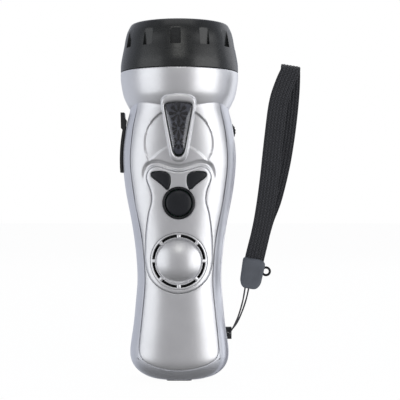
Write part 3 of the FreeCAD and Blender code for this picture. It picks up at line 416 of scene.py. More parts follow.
def tongue_outline(half_top, top, arch, tip_radius, tip):
    """Arched top, straight tapering sides, round tip, in the signal lamp's own plane."""
    corner = 2.2
    rise = (half_top ** 2 + arch ** 2) / (2 * arch)
    sweep = math.asin(half_top / rise)
    angles = np.linspace(-sweep, sweep, 30)
    cap = np.stack([rise * np.sin(angles), top + arch - rise * (1 - np.cos(angles))], axis=1)
    turn = np.linspace(0, -math.pi, 30)
    end = np.stack([tip_radius * np.cos(turn), tip + tip_radius * np.sin(turn)], axis=1)
    loop = resample(np.vstack([cap, end]), 0.3)
    for _ in range(int(corner * 9)):
        loop = averaged(loop)
    return resample(loop, 0.3)


SIGNAL_Z, SIGNAL_Y, SIGNAL_TILT = 135.0, -27.2, math.radians(10.8)
HOOD = (9.7, 16.5, 2.6, 5.0, -13.2)
LENS = (7.9, 13.6, 1.0, 3.3, -11.4)


def signal_point(x, y, z):
    """From the signal lamp's own frame to the radio's."""
    return (x, SIGNAL_Y + y * math.cos(SIGNAL_TILT) - z * math.sin(SIGNAL_TILT),
            SIGNAL_Z + y * math.sin(SIGNAL_TILT) + z * math.cos(SIGNAL_TILT))


def signal_flat(point):
    """The signal lamp's own x and height of a point given in metres."""
    x, y, z = (value / MM for value in point)
    return x, -(y - SIGNAL_Y) * math.sin(SIGNAL_TILT) + (z - SIGNAL_Z) * math.cos(SIGNAL_TILT)


def side_button_outline(side, grow=0.0):
    points = ((-14.6, 111.6), (-13.6, 112.6), (-10.0, 112.9), (-6.9, 112.5), (-5.0, 111.0), (-4.5, 108.9),
              (-4.7, 106.2), (-5.5, 103.9), (-6.5, 103.7), (-8.6, 105.8), (-11.6, 108.2), (-14.1, 110.2))
    loop = resample(spline([(-side * x, z) for x, z in points], closed=True), 0.3)
    return loop + outward(loop) * grow


def circle(radius, centre, count=120):
    angles = np.arange(count) * 2 * math.pi / count
    return np.stack([centre[0] + radius * np.cos(angles), centre[1] + radius * np.sin(angles)], axis=1)


# -------------------- materials


RANGE_SOCKETS = ("From Min", "From Max", "To Min", "To Max")


class Shader:
    """A node material with the texture coordinates, noises and mixes that the finishes share."""

    def __init__(self, name):
        self.material = bpy.data.materials.new(name)
        self.material.use_nodes = True
        self.tree = self.material.node_tree
        self.tree.nodes.clear()
        self.output = self.add("ShaderNodeOutputMaterial")
        self.where = self.add("ShaderNodeTexCoord")

    def add(self, kind, **values):
        node = self.tree.nodes.new(kind)
        for name, value in values.items():
            setattr(node, name, value)
        return node

    def link(self, source, target):
        self.tree.links.new(source, target)

    def noise(self, scale, detail=3.0, vector=None, roughness=0.55):
        node = self.add("ShaderNodeTexNoise")
        node.inputs["Scale"].default_value = scale
        node.inputs["Detail"].default_value = detail
        node.inputs["Roughness"].default_value = roughness
        self.link(vector or self.where.outputs["Object"], node.inputs["Vector"])
        return node.outputs["Fac"]

    def stretch(self, factors):
        node = self.add("ShaderNodeMapping")
        node.inputs["Scale"].default_value = factors
        self.link(self.where.outputs["Object"], node.inputs["Vector"])
        return node.outputs["Vector"]

    def span(self, value, low, high, to_low, to_high):
        node = self.add("ShaderNodeMapRange")
        for name, bound in zip(RANGE_SOCKETS, (low, high, to_low, to_high)):
            node.inputs[name].default_value = bound
        self.link(value, node.inputs["Value"])
        return node.outputs["Result"]

    def math(self, operation, a, b=None):
        node = self.add("ShaderNodeMath", operation=operation)
        for socket, value in zip(node.inputs, (a, b)):
            if value is None:
                continue
            if isinstance(value, (int, float)):
                socket.default_value = value
            else:
                self.link(value, socket)
        return node.outputs[0]

    def blend(self, factor, first, second):
        node = self.add("ShaderNodeMix", data_type="RGBA")
        if isinstance(factor, (int, float)):
            node.inputs[0].default_value = factor
        else:
            self.link(factor, node.inputs[0])
        for socket, value in ((node.inputs[6], first), (node.inputs[7], second)):
            if isinstance(value, tuple):
                socket.default_value = value + (1.0,) if len(value) == 3 else value
            else:
                self.link(value, socket)
        return node.outputs[2]

    def bump(self, height, strength, distance, normal=None):
        node = self.add("ShaderNodeBump")
        node.inputs["Strength"].default_value = strength
        node.inputs["Distance"].default_value = distance
        self.link(height, node.inputs["Height"])
        if normal is not None:
            self.link(normal, node.inputs["Normal"])
        return node.outputs["Normal"]

    def principled(self, color, roughness, normal=None, **values):
        node = self.add("ShaderNodeBsdfPrincipled")
        for name, value in (("Base Color", color), ("Roughness", roughness)):
            if isinstance(value, tuple):
                node.inputs[name].default_value = value + (1.0,)
            elif isinstance(value, (int, float)):
                node.inputs[name].default_value = value
            else:
                self.link(value, node.inputs[name])
        for name, value in values.items():
            node.inputs[name.replace("_", " ")].default_value = value
        if normal is not None:
            self.link(normal, node.inputs["Normal"])
        return node

    def finish(self, shader):
        self.link(shader.outputs[0], self.output.inputs["Surface"])
        return self.material


def scaled(color, factor):
    return tuple(min(1.0, c * factor) for c in color)


def silver_paint(name, color, roughness=0.36):
    """Satin metallic paint: fine flake, faint mottling, and a painted highlight that lightens convex edges.
    """
    s = Shader(name)
    flake = s.add("ShaderNodeTexVoronoi")
    flake.inputs["Scale"].default_value = 5200
    s.link(s.where.outputs["Object"], flake.inputs["Vector"])
    mottle = s.noise(60, 2)
    shade = s.blend(s.span(mottle, 0.3, 0.7, 0, 1), scaled(color, 0.965), scaled(color, 1.03))
    sparkle = s.blend(s.span(flake.outputs["Distance"], 0, 0.7, 0.10, 0.0), shade, scaled(color, 1.25))
    # painted highlight: where the surface is convex (high pointiness) the paint is made lighter
    painted_edge_highlight = s.span(s.add("ShaderNodeNewGeometry").outputs["Pointiness"], 0.52, 0.60, 0.0, 0.35)
    paint = s.blend(painted_edge_highlight, sparkle, scaled(color, 1.12))
    rough = s.span(s.noise(900, 2), 0.3, 0.7, roughness - 0.03, roughness + 0.04)
    normal = s.bump(s.noise(2600, 2), 0.05, 0.00004)
    shader = s.principled(paint, rough, normal, Metallic=0.88, Coat_Weight=0.12, Coat_Roughness=0.22)
    return s.finish(shader)


def moulded(name, color, roughness, grain=1400, depth=0.12, lift=0.25, **values):
    """Moulded plastic or rubber: fine grain, uneven gloss, and a painted highlight that makes convex edges
    a little lighter.
    """
    s = Shader(name)
    tone = s.blend(s.span(s.noise(120, 3), 0.3, 0.7, 0, 1), scaled(color, 0.88), scaled(color, 1.12))
    # painted highlight: convex edges (high pointiness) are painted lighter, by up to lift
    painted_edge_highlight = s.span(s.add("ShaderNodeNewGeometry").outputs["Pointiness"], 0.53, 0.64, 0.0, lift)
    tone = s.blend(painted_edge_highlight, tone, tuple(min(1.0, c * 1.6 + 0.03) for c in color))
    rough = s.span(s.noise(700, 3), 0.3, 0.7, roughness - 0.05, roughness + 0.06)
    normal = s.bump(s.noise(grain, 2), depth, 0.00008)
    return s.finish(s.principled(tone, rough, normal, **values))


def metal(name, color, roughness, stretch=(1, 1, 1), scale=900):
    """Bare metal with drawn or turned marks."""
    s = Shader(name)
    marks = s.noise(scale, 4, s.stretch(stretch))
    tone = s.blend(s.span(marks, 0.35, 0.65, 0, 1), scaled(color, 0.9), scaled(color, 1.08))
    rough = s.span(marks, 0.3, 0.7, roughness - 0.06, roughness + 0.08)
    normal = s.bump(marks, 0.15, 0.00003)
    return s.finish(s.principled(tone, rough, normal, Metallic=1.0))


def see_through(name, tint, gloss=0.03, index=1.5):
    """A thin moulded window: tinted straight through, glossy on top, with faint moulding haze."""
    s = Shader(name)
    haze = s.noise(180, 2)
    colour = s.blend(s.span(haze, 0.3, 0.7, 0, 1), scaled(tint, 0.92), scaled(tint, 1.06))
    clear = s.add("ShaderNodeBsdfTransparent")
    s.link(colour, clear.inputs["Color"])
    shine = s.add("ShaderNodeBsdfGlossy")
    s.link(s.span(s.noise(420, 2), 0.3, 0.7, gloss * 0.6, gloss * 1.4), shine.inputs["Roughness"])
    s.link(s.bump(haze, 0.04, 0.0001), shine.inputs["Normal"])
    edge = s.add("ShaderNodeFresnel")
    edge.inputs["IOR"].default_value = index
    mix = s.add("ShaderNodeMixShader")
    s.link(edge.outputs[0], mix.inputs[0])
    s.link(clear.outputs[0], mix.inputs[1])
    s.link(shine.outputs[0], mix.inputs[2])
    return s.finish(mix)


def webbing_cloth(name):
    """Ribbed woven tape: lengthwise cords crossed by fine picks, set out on the tape's own millimetres."""
    s = Shader(name)
    parts = s.add("ShaderNodeSeparateXYZ")
    s.link(s.where.outputs["UV"], parts.inputs[0])
    across, along = parts.outputs[0], parts.outputs[1]
    width = TAPE_WIDTH * MM
    ribs = s.math("COSINE", s.math("MULTIPLY", across, 2 * math.pi * TAPE_RIBS / width))
    half_ribs = s.math("ROUND", s.math("DIVIDE", across, width / (2 * TAPE_RIBS)))
    stagger = s.math("MULTIPLY", half_ribs, math.pi)
    picks = s.math("SINE", s.math("ADD", s.math("MULTIPLY", along, 2 * math.pi / 0.0016), stagger))
    weave = s.math("ADD", s.math("MULTIPLY", ribs, 0.35), s.math("MULTIPLY", picks, 0.65))
    fuzz = s.noise(5000, 3)
    height = s.math("ADD", weave, s.math("MULTIPLY", fuzz, 0.5))
    # painted shade: the colour follows the weave's height, darker in the grooves between cords and picks
    # and lighter on their crests, with random fuzz on top
    colour = s.blend(s.span(height, -0.9, 1.3, 0, 1), (0.0022, 0.0025, 0.0035), (0.036, 0.038, 0.047))
    normal = s.bump(height, 0.8, 0.00030)
    shader = s.principled(colour, 0.72, normal, Sheen_Weight=0.35, Sheen_Roughness=0.4)
    return s.finish(shader)


def braid(name, color):
    """Thin braided cord: two crossed spirals of yarn."""
    s = Shader(name)
    lay = s.add("ShaderNodeTexWave", wave_type="BANDS", bands_direction="DIAGONAL")
    lay.inputs["Scale"].default_value = 900
    lay.inputs["Distortion"].default_value = 1.5
    s.link(s.where.outputs["Object"], lay.inputs["Vector"])
    # painted shade: the colour follows the lay's height, darker in the grooves between the yarns
    tone = s.blend(lay.outputs["Fac"], scaled(color, 0.85), scaled(color, 1.2))
    normal = s.bump(lay.outputs["Fac"], 0.5, 0.00008)
    return s.finish(s.principled(tone, 0.6, normal, Sheen_Weight=0.2))


def circuit_board(name):
    """Green solder mask with a paler web of tracks under it."""
    s = Shader(name)
    cells = s.add("ShaderNodeTexVoronoi", distance="CHEBYCHEV")
    cells.inputs["Scale"].default_value = 420
    s.link(s.where.outputs["Object"], cells.inputs["Vector"])
    tracks = s.span(cells.outputs["Distance"], 0.28, 0.34, 0, 1)
    tone = s.blend(tracks, (0.012, 0.10, 0.045), (0.03, 0.20, 0.09))
    normal = s.bump(tracks, 0.2, 0.00003)
    return s.finish(s.principled(tone, 0.35, normal))


def winding(name):
    """Enamelled copper wire laid in turns."""
    s = Shader(name)
    turns = s.add("ShaderNodeTexWave", wave_type="BANDS", bands_direction="Y")
    turns.inputs["Scale"].default_value = 1200
    s.link(s.where.outputs["Object"], turns.inputs["Vector"])
    # painted shade: the colour follows the turns' height, dark in the grooves between turns and bright
    # copper on their crests
    tone = s.blend(turns.outputs["Fac"], (0.28, 0.10, 0.04), (0.75, 0.36, 0.16))
    normal = s.bump(turns.outputs["Fac"], 0.5, 0.0001)
    return s.finish(s.principled(tone, 0.3, normal, Metallic=0.9))


def make_materials():
    return {
        "face": silver_paint("silver_paint", (0.86, 0.865, 0.885)),
        "rim": silver_paint("rim_paint", (0.80, 0.815, 0.865), 0.42),
        "grip": moulded("grip_plastic", (0.008, 0.0092, 0.0095), 0.28, depth=0.05, Specular_IOR_Level=0.75),
        "button": moulded("button_plastic", (0.010, 0.011, 0.014), 0.38, depth=0.08,
                          Specular_IOR_Level=0.4),
        "gloss": moulded("gloss_plastic", (0.006, 0.0065, 0.008), 0.18, depth=0.03, Specular_IOR_Level=0.4),
        "black": moulded("black_plastic", (0.012, 0.013, 0.015), 0.45, Specular_IOR_Level=0.4),
        "smoke": see_through("smoked_window", (0.80, 0.81, 0.84), 0.06, index=1.85),
        "clear": see_through("clear_window", (0.93, 0.95, 0.96), 0.02),
        "plate": metal("plated_dish", (0.55, 0.56, 0.60), 0.30, scale=200),
        "mirror": metal("plated_mirror", (0.90, 0.90, 0.92), 0.08, scale=200),
        "led": see_through("clear_epoxy", (0.86, 0.86, 0.80), 0.05),
        "signal_led": see_through("tinted_epoxy", (0.75, 0.30, 0.22), 0.05),
        "board": circuit_board("solder_mask"),
        "switch": moulded("switch_plastic", (0.035, 0.035, 0.04), 0.5),
        "rubber": moulded("port_rubber", (0.022, 0.022, 0.025), 0.68, grain=2200, depth=0.3),
        "steel": metal("steel", (0.62, 0.63, 0.66), 0.25),
        "turned": metal("turned_steel", (0.60, 0.61, 0.63), 0.22, (1, 40, 1)),
        "brass": metal("turned_brass", (0.78, 0.60, 0.30), 0.25, (1, 40, 1)),
        "copper": winding("copper_winding"),
        "magnet": moulded("sintered_ferrite", (0.045, 0.045, 0.05), 0.55, grain=3500, depth=0.3),
        "nylon": moulded("white_nylon", (0.72, 0.72, 0.68), 0.45),
        "cell": metal("nickel_plate", (0.66, 0.66, 0.67), 0.2),
        "sleeve": moulded("shrink_film", (0.04, 0.12, 0.30), 0.3),
        "cone": moulded("pressed_cone", (0.02, 0.02, 0.022), 0.7, grain=2600, depth=0.4),
        "cloth": braid("dust_cloth", (0.0015, 0.0015, 0.0018)),
        "clasp": moulded("clasp_plastic", (0.095, 0.105, 0.125), 0.55, grain=2400, depth=0.25),
        "cord": braid("braided_cord", (0.022, 0.022, 0.028)),
        "webbing": webbing_cloth("ribbed_webbing"),
        "wire": moulded("wire_cover", (0.45, 0.05, 0.04), 0.4),
    }


NODE_FINISH = {
    "rim": ("rear_shell",),
    "steel": ("speaker_frame", "dynamo_housing", "idler_axle", "crank_shaft", "knob_spindle", "knob_pin"),
    "turned": ("case_screws", "crank_screw"),
    "clear": ("lamp_lens",),
    "rubber": ("lens_seal", "port_cover"),
    "mirror": ("lamp_reflector",),
    "led": ("lamp_leds",),
    "signal_led": ("signal_leds",),
    "board": ("lamp_board", "signal_board", "main_board", "socket_board"),
    "wire": ("lamp_cable",),
    "black": ("volume_wheel", "lamp_slider", "crank_arm", "lanyard_lug", "clasp_ring"),
    "button": ("crank_knob",),
    "switch": ("volume_pot", "lamp_switch", "push_switches", "charge_socket", "earphone_socket"),
    "cloth": ("speaker_cloth",),
    "cone": ("speaker_cone",),
    "magnet": ("speaker_magnet", "dynamo_rotor"),
    "cell": ("battery_cells",),
    "sleeve": ("battery_sleeve",),
    "nylon": ("crank_gear", "idler_gear", "gearbox_plate"),
    "brass": ("rotor_pinion", "shaft_bush"),
    "copper": ("dynamo_coil",),
}


def dress_nodes(finish):
    """Give each carried-over CAD node its finish, and shade its curved faces smooth between sharp edges."""
    for name, nodes in NODE_FINISH.items():
        for node in nodes:
            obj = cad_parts[node]
            obj.data.materials.clear()
            obj.data.materials.append(finish[name])
            for polygon in obj.data.polygons:
                polygon.use_smooth = True
            weld = obj.modifiers.new("Weld", "WELD")
            weld.merge_threshold = 2e-6
            split = obj.modifiers.new("Sharp", "EDGE_SPLIT")
            split.split_angle = math.radians(30)


# -------------------- casing


def step_up(value, low, high):
    t = np.clip((value - low) / (high - low), 0, 1)
    return t * t * (3 - 2 * t)


def face_depth(x, z):
    """Front face: sunk cheeks beside the signal lamp, a brow, and a valley over the control panel."""
    y = front_y(x, z)
    disc = step_up(18.5 - np.hypot(x, z - 128.1), 0.0, 0.7)
    brow = step_up(z - (127.0 - 9.0 * (x / 15.7) ** 2), 0.0, 0.6)
    y = y + 0.6 * disc * brow
    loop = resample(panel_outline(), 0.5)
    near = (z > 104) & (z < 126) & (np.abs(x) < 24)
    gap = np.full(x.shape, 99.0)
    if np.any(near):
        gap[near] = distance_to(np.stack([x[near], z[near]], axis=1), loop)
    valley = np.exp(-((gap - 2.0) / 1.3) ** 2) * step_up(z, 107, 112) * step_up(20.5 - np.abs(x), 0, 4)
    return y + 1.25 * valley


def make_casing(finish):
    hood = resample(hood_outline(), 0.3)
    hood = hood - outward(hood) * 0.4
    hood_hole = np.array([signal_point(x, 3.0, z)[::2] for x, z in hood])
    fine = lambda p: (p[:, 1] > 106) & (np.abs(p[:, 0]) < 21) & (p[:, 1] < 150)
    outline = round_heel(face_outline())
    vertices, faces = sheet(outline, [panel_outline(0.14), hood_hole], face_depth, edge=0.6,
                            hole_edges=[0.45, 0.2], dense=fine)
    solid(case_skin("front_face", vertices, faces, "front_shell", finish), 1.7)

    square = resample(face_outline(), 0.45)
    outer = below(square + outward(square) * 0.3, 26.4)
    inner = below(outline + outward(outline) * SEAM, 26.0)
    vertices, faces = sheet(outer, [inner], lambda x, z: front_y(x, z) + 0.04, edge=0.02, hole_edges=[0.3])
    solid(make_object("heel_rim", vertices, faces, "casing", finish["rim"], ()), 1.2)

    holes = [circle(8.62, (0, ROUND_BUTTON_Z)), circle(15.3, (0, SPEAKER_Z))]
    holes += [side_button_outline(side, 0.35) for side in (-1, 1)]
    vertices, faces = sheet(panel_outline(), holes, lambda x, z: front_y(x, z, PANEL_RISE), edge=0.9,
                            hole_edges=[0.3, 0.3, 0.3, 0.3], spacing=0.4, fill=1.2)
    solid(case_skin("panel_skin", vertices, faces, "control_panel", finish), 2.0)


def make_speaker(finish):
    """Domed cover with a ring of eight slots between spokes."""
    spoke = math.degrees(math.asin(1.0 / 13.4))
    columns = []
    sector = 360 // SPEAKER_SECTORS
    for number in range(SPEAKER_SECTORS):
        start = sector * number
        columns += [start - spoke, start, start + spoke]
        columns += [start + spoke + (sector - 2 * spoke) * k / 9 for k in range(1, 9)]
    angles = np.radians(columns)
    count = len(angles)
    radii = [0.6, 2, 4, 6, 8, 9.5, 10.7, 11.5, 12.0, 12.2, 12.35, 12.5, 13.1, 13.7, 14.25, 14.6, 14.9,
             15.12, 15.2]
    vertices = []
    for radius in radii:
        x, z = radius * np.cos(angles), SPEAKER_Z + radius * np.sin(angles)
        rim = front_y(x, z, PANEL_RISE)
        dome = -1 - math.sqrt(20.8 ** 2 - min(radius, 12.0) ** 2)
        if radius <= 12.0:
            y = np.full(count, dome)
        elif radius <= 12.2:
            y = np.minimum(dome + 0.5, rim + 1.2)
        else:
            y = rim + {12.35: 0.25, 15.12: 0.06, 15.2: 0.25}.get(radius, 0.0)
        vertices += [(a, b, c) for a, b, c in zip(x, np.broadcast_to(y, x.shape), z)]
    slot_rows = range(radii.index(12.5), radii.index(14.25))
    faces = []
    for face in grid(len(radii), count):
        row, column = face[0] // count, face[0] % count
        if row in slot_rows and column % 11 >= 2:
            continue
        faces.append(face)
    vertices.append((0, -1 - 20.8, SPEAKER_Z))
    faces += [(c, (c + 1) % count, len(vertices) - 1) for c in range(count)]
    solid(case_skin("speaker_grille", vertices, faces, "speaker_cover", finish), 0.45)


def hood_outline():
    return soften(tongue_outline(*HOOD), 9)


def polar(outline, centre, count):
    """An outline sampled at even angles about a centre inside it."""
    loop = resample(outline, 0.1) - np.array(centre)
    angle = np.arctan2(loop[:, 1], loop[:, 0])
    order = np.argsort(angle)
    wanted = np.linspace(-math.pi, math.pi, count, endpoint=False)
    radius = np.interp(wanted, angle[order], np.hypot(loop[:, 0], loop[:, 1])[order], period=2 * math.pi)
    return np.stack([radius * np.cos(wanted), radius * np.sin(wanted)], axis=1) + np.array(centre)


def placed(loop, y):
    depth = np.broadcast_to(y, (len(loop),))
    return [signal_point(p[0], d, p[1]) for p, d in zip(loop, depth)]


def make_signal_lamp(finish):
    count = 176
    hood = polar(hood_outline(), (0, 0), count)
    lens = polar(soften(tongue_outline(*LENS), 2), (0, 0), count)
    normal = outward(hood)
    loops = [placed(hood + normal * grow, y) for grow, y in
             ((0.9, 8.4), (0.7, 6.0), (0.4, 3.6), (0.15, 1.8), (0.02, 0.7), (-0.1, 0.1))]
    for share, y in ((0.1, -0.35), (0.22, -0.62), (0.4, -0.85), (0.6, -0.92), (0.78, -0.82), (0.9, -0.6),
                     (0.97, -0.3), (0.99, 0.3), (0.99, 1.3)):
        loops.append(placed(hood * (1 - share) + lens * share, y))
    loops.append(placed(hood + normal * -1.6, 8.4))
    vertices, faces = loft(loops, close=True)
    case_skin("signal_hood_skin", vertices, faces, "signal_hood", finish)

    loops = []
    for share in (1.0, 0.985, 0.95, 0.86, 0.72, 0.55, 0.36, 0.16):
        loops.append(placed(lens * share * 0.985, -0.1 - 1.25 * (1 - share ** 3)))
    vertices, faces = loft(loops, cap_end=True)
    window = make_object("signal_window", vertices, faces, "casing", finish["smoke"], ("signal_lens",))
    solid(window, 0.7)

    cups = ((8.2, 4.9), (0.2, 4.1), (-7.4, 3.2))

    def petals(x, z):
        """Depth of the eight-petal cups below the plate."""
        depth = np.zeros(np.shape(x))
        for height, radius in cups:
            reach, turn = np.hypot(x, z - height), np.arctan2(z - height, x)
            petal = np.clip(np.cos(8 * turn) * 2.5 + 0.6, 0, 1)
            band = np.clip((reach - 0.9) / 0.5, 0, 1) * np.clip((radius - reach) / 0.5, 0, 1)
            depth = np.maximum(depth, petal * band)
        return depth

    rim = resample(tongue_outline(*LENS), 0.4)
    rim = rim - outward(rim) * 1.0
    vertices, faces = sheet(rim, [], lambda x, z: 1.7 + 1.6 * petals(x, z), edge=0.2, fill=0.34,
                            spacing=0.4)
    vertices = [signal_point(*v) for v in vertices]
    stars = make_object("signal_stars", vertices, faces, "casing", finish["plate"], ("signal_reflector",),
                        smooth_angle=50)
    # painted shade: the petal cups get the black gloss plastic instead of the plate's mirror finish
    stars.data.materials.append(finish["gloss"])
    for polygon in stars.data.polygons:
        x, z = signal_flat(polygon.center)
        polygon.material_index = int(petals(x, z) > 0.5)
    solid(stars, 0.5)


# -------------------- lamp head


def make_head(finish):
    heights = np.linspace(147.1, 167.0, 44)
    profile = [(23.4, 147.0), (26.6, 147.0)] + [(float(bulb_radius(z)), z) for z in heights]
    profile += [(32.1, 167.25), (31.9, 167.4), (28.4, 167.4), (28.2, 165.0), (23.8, 148.5)]
    vertices, faces = loft(rings_about(profile, 180), close=True)
    case_skin("head_skin", vertices, faces, "lamp_head", finish)

    outer = spline([(32.2, 167.9), (32.05, 172), (31.2, 177), (30.3, 181.5), (29.5, 186), (28.6, 189.2),
                    (27.35, 191.9), (26.6, 193.1), (25.8, 193.55), (24.5, 193.65), (22.95, 193.6)], steps=5)
    side = outer[outer[:, 1] < 190]
    step = [(float(np.interp(z, side[:, 1], side[:, 0])), z) for z in (GRIP_FOOT - 0.15, GRIP_FOOT + 0.15)]
    outside = [(31.9, 167.7)] + [tuple(p) for p in outer if p[1] < GRIP_FOOT - 0.4]
    outside += step + [tuple(p) for p in outer if p[1] > GRIP_FOOT + 0.4]
    inside_profile = [(22.5, 193.5), (22.4, 193.2), (22.4, 190.6), (27.6, 190.6), (27.75, 186.0),
                      (27.75, 167.7)]
    columns = []
    half_slot = math.degrees(math.asin(2.6 / 28.9))
    for sector in range(BEZEL_SECTORS):
        base = 360 // BEZEL_SECTORS * sector + 267.2
        for offset in (-half_slot - 0.35, -half_slot, -half_slot + 0.3, -3.4, -1.7, 0, 1.7, 3.4,
                       half_slot - 0.3, half_slot, half_slot + 0.35, 7.5, 10, 12.5, 15, 17.5, 20, 22.5):
            columns.append((base + offset, abs(offset) < half_slot - 0.1, offset))
    angles = np.radians([c[0] for c in columns])
    loops = []
    for radius, z in outside + inside_profile:
        reach = np.full(len(columns), radius)
        if radius > 28.0 and z > GRIP_FOOT:
            for index, (_, in_slot, offset) in enumerate(columns):
                floor = 28.75 / math.cos(math.radians(offset)) if in_slot else radius
                reach[index] = min(radius, floor)
        height = np.full(len(columns), z)
        loops.append(np.stack([reach * np.cos(angles), reach * np.sin(angles), height], axis=1))
    vertices, faces = loft(loops, close=True)
    make_object("bezel_skin", vertices, faces, "bezel", finish["grip"], ("bezel_ring",),
                smooth_angle=48)


# -------------------- buttons


def make_buttons(finish):
    centre = (0, 0, ROUND_BUTTON_Z)
    ring = ((7.27, 18.8), (8.5, 18.8), (8.56, 20.9), (8.5, 21.7), (8.3, 22.1), (8.0, 22.3), (7.7, 22.3),
            (7.45, 22.1), (7.3, 21.7))
    vertices, faces = loft(rings_about(ring, 96, centre, "-y"), close=True)
    make_object("button_bezel", vertices, faces, "casing", finish["gloss"], ("button_ring",),
                smooth_angle=60)
    cap = ((1.5, 14.5), (1.5, 17.6), (6.6, 17.6), (7.0, 18.0), (7.0, 21.2), (6.9, 21.6), (6.62, 21.95),
           (6.1, 22.2), (5.0, 22.42), (3.6, 22.6), (2.0, 22.74), (0.8, 22.79))
    vertices, faces = loft(rings_about(cap, 96, centre, "-y"), cap_start=True, cap_end=True)
    make_object("round_button_cap", vertices, faces, "round_button", finish["button"], ("round_button",))
    for side, name in ((-1, "left_button"), (1, "right_button")):
        outline = resample(side_button_outline(side), 0.3)
        middle = outline.mean(axis=0)
        loops = []
        for share, rise in ((0.15, None), (1.0, None), (1.0, 0.7), (0.985, 0.95), (0.94, 1.15),
                            (0.86, 1.28), (0.7, 1.36), (0.45, 1.42), (0.15, 1.45)):
            flat = middle + (outline - middle) * share
            y = -17.0 if rise is None else front_y(flat[:, 0], flat[:, 1], rise)
            loops.append(np.stack([flat[:, 0], np.broadcast_to(y, (len(flat),)), flat[:, 1]], axis=1))
        vertices, faces = loft(loops, cap_start=True, cap_end=True)
        make_object(f"{name}_cap", vertices, faces, name, finish["button"], (name,))


# -------------------- cord, clasp, strap

STRAP_FRONT = ((40.8, 1.0, 62.6), (41.5, 1.0, 66.5), (45.7, 3.6, 85.8), (48.7, 5.0, 106.2),
               (51.4, 5.4, 130.9), (54.0, 4.8, 150.4), (57.5, 3.8, 161.5), (60.6, 3.2, 168.3))
STRAP_BACK = ((61.5, 3.2, 168.3), (61.3, 4.2, 158.4), (60.2, 4.8, 145.4), (58.4, 5.2, 130.9),
              (55.8, 5.0, 116.0), (51.4, 4.2, 98.5), (46.6, 2.6, 85.8), (41.4, 1.0, 66.5),
              (40.8, 1.0, 62.6))
STRAP_LEAN = math.radians(9.3)


def make_strap(finish):
    """Ribbed tape swept along the loop, with its own millimetres as UV for the weave."""
    path = [(x, -d, z) for x, d, z in STRAP_FRONT]
    for degrees in (36, 72, 108, 144):
        a = math.radians(degrees)
        path.append((61.1, -3.2 * math.cos(a), 168.3 + 3.2 * math.sin(a)))
    path += list(STRAP_BACK)
    line = resample(spline(path, steps=14), 1.1, closed=False)
    across = np.array((math.cos(STRAP_LEAN), 0.0, -math.sin(STRAP_LEAN)))
    half, thick = TAPE_WIDTH / 2, 0.6
    section = []
    steps = TAPE_RIBS * 4
    for k in range(steps + 1):
        u = -half + 2 * half * k / steps
        edge = min(1.0, (half - abs(u)) / 0.45)
        rib = 0.14 * (1 - math.cos(2 * math.pi * TAPE_RIBS * k / steps))
        section.append((u, (thick - rib) * (0.35 + 0.65 * edge ** 0.5)))
    profile = section + [(u, -t) for u, t in reversed(section)]
    loops = []
    for point, direction in zip(line, headings(line)):
        side = across - direction * float(across @ direction)
        side /= np.linalg.norm(side)
        normal = np.cross(direction, side)
        loops.append([point + side * u + normal * t for u, t in profile])
    vertices, faces = loft(loops, cap_start=True, cap_end=True)
    strap = make_object("woven_strap", vertices, faces, "strap", finish["webbing"], ("wrist_strap",),
                        smooth_angle=70)
    lay_tape(strap.data, line, across)


def lay_tape(mesh, line, across):
    """UV in metres: across the tape, and along its middle line."""
    lengths = np.concatenate([[0], np.cumsum(np.linalg.norm(np.diff(line, axis=0), axis=1))]) * MM
    tree = nearest([Vector(point) * MM for point in line])
    layer = mesh.uv_layers.new(name="tape")
    axis = Vector(across)
    for loop in mesh.loops:
        co = mesh.vertices[loop.vertex_index].co
        _, index, _ = tree.find(co)
        offset = co - Vector(line[index]) * MM
        layer.data[loop.index].uv = (offset.dot(axis), lengths[index])


def tilted(x, y, z, centre, lean):
    return (centre[0] + x * math.cos(lean) + z * math.sin(lean), y,
            centre[1] - x * math.sin(lean) + z * math.cos(lean))


def make_clasp(finish):
    """Moulded end clasp in two halves, with a groove where they meet."""
    corners = ((-4.4, -8.5), (3.6, -8.5), (5.6, -5.2), (6.4, 6.9), (3.4, 8.3), (-6.2, 8.3), (-5.9, -4.6))
    outline = resample(soften(rounded_polygon(corners, (2.4, 2.4, 2.6, 1.4, 1.4, 0.8, 2.6), 6), 2), 0.35)
    loops = []
    for share, y in ((0.2, -3.3), (0.6, -3.28), (0.8, -3.2), (0.91, -2.95), (0.97, -2.5), (1.0, -1.9),
                     (1.0, -0.3), (0.955, -0.14), (0.955, 0.14), (1.0, 0.3), (1.0, 1.9), (0.97, 2.5),
                     (0.91, 2.95), (0.8, 3.2), (0.6, 3.28), (0.2, 3.3)):
        loops.append([tilted(x * share, y, z * share, (39.9, 57.6), STRAP_LEAN) for x, z in outline])
    vertices, faces = loft(loops, cap_start=True, cap_end=True)
    make_object("clasp_skin", vertices, faces, "strap", finish["clasp"], ("clasp",),
                smooth_angle=50)


def make_cord(finish):
    """Thin braided cord doubled through the lug."""
    half = [(27.3, 24.9), (30.2, 28.6), (32.6, 33.4), (34.6, 38.9), (36.1, 44.4), (37.2, 50.2)]
    spread = 1.15 * np.linspace(0, 1, len(half)) ** 0.6
    path = [(x - d, -2.2, z) for (x, z), d in zip(reversed(half), reversed(spread))]
    path += [(x + d, 2.2, z) for (x, z), d in zip(half, spread)]
    line = resample(spline(path, steps=10), 0.8, closed=False)
    loops = []
    for index, (point, direction) in enumerate(zip(line, headings(line))):
        side = np.cross(direction, (0.3, 0.9, 0.2))
        side /= np.linalg.norm(side)
        up = np.cross(direction, side)
        turn = index * 0.5
        ring = []
        for a in np.arange(CORD_SIDES) * 2 * math.pi / CORD_SIDES:
            radius = CORD_RADIUS + 0.035 * math.cos(4 * a + turn)
            ring.append(point + side * radius * math.cos(a) + up * radius * math.sin(a))
        loops.append(ring)
    vertices, faces = loft(loops, cap_start=True, cap_end=True)
    make_object("braided_cord", vertices, faces, "cord", finish["cord"], ("cord",), smooth_angle=80)


# -------------------- studio


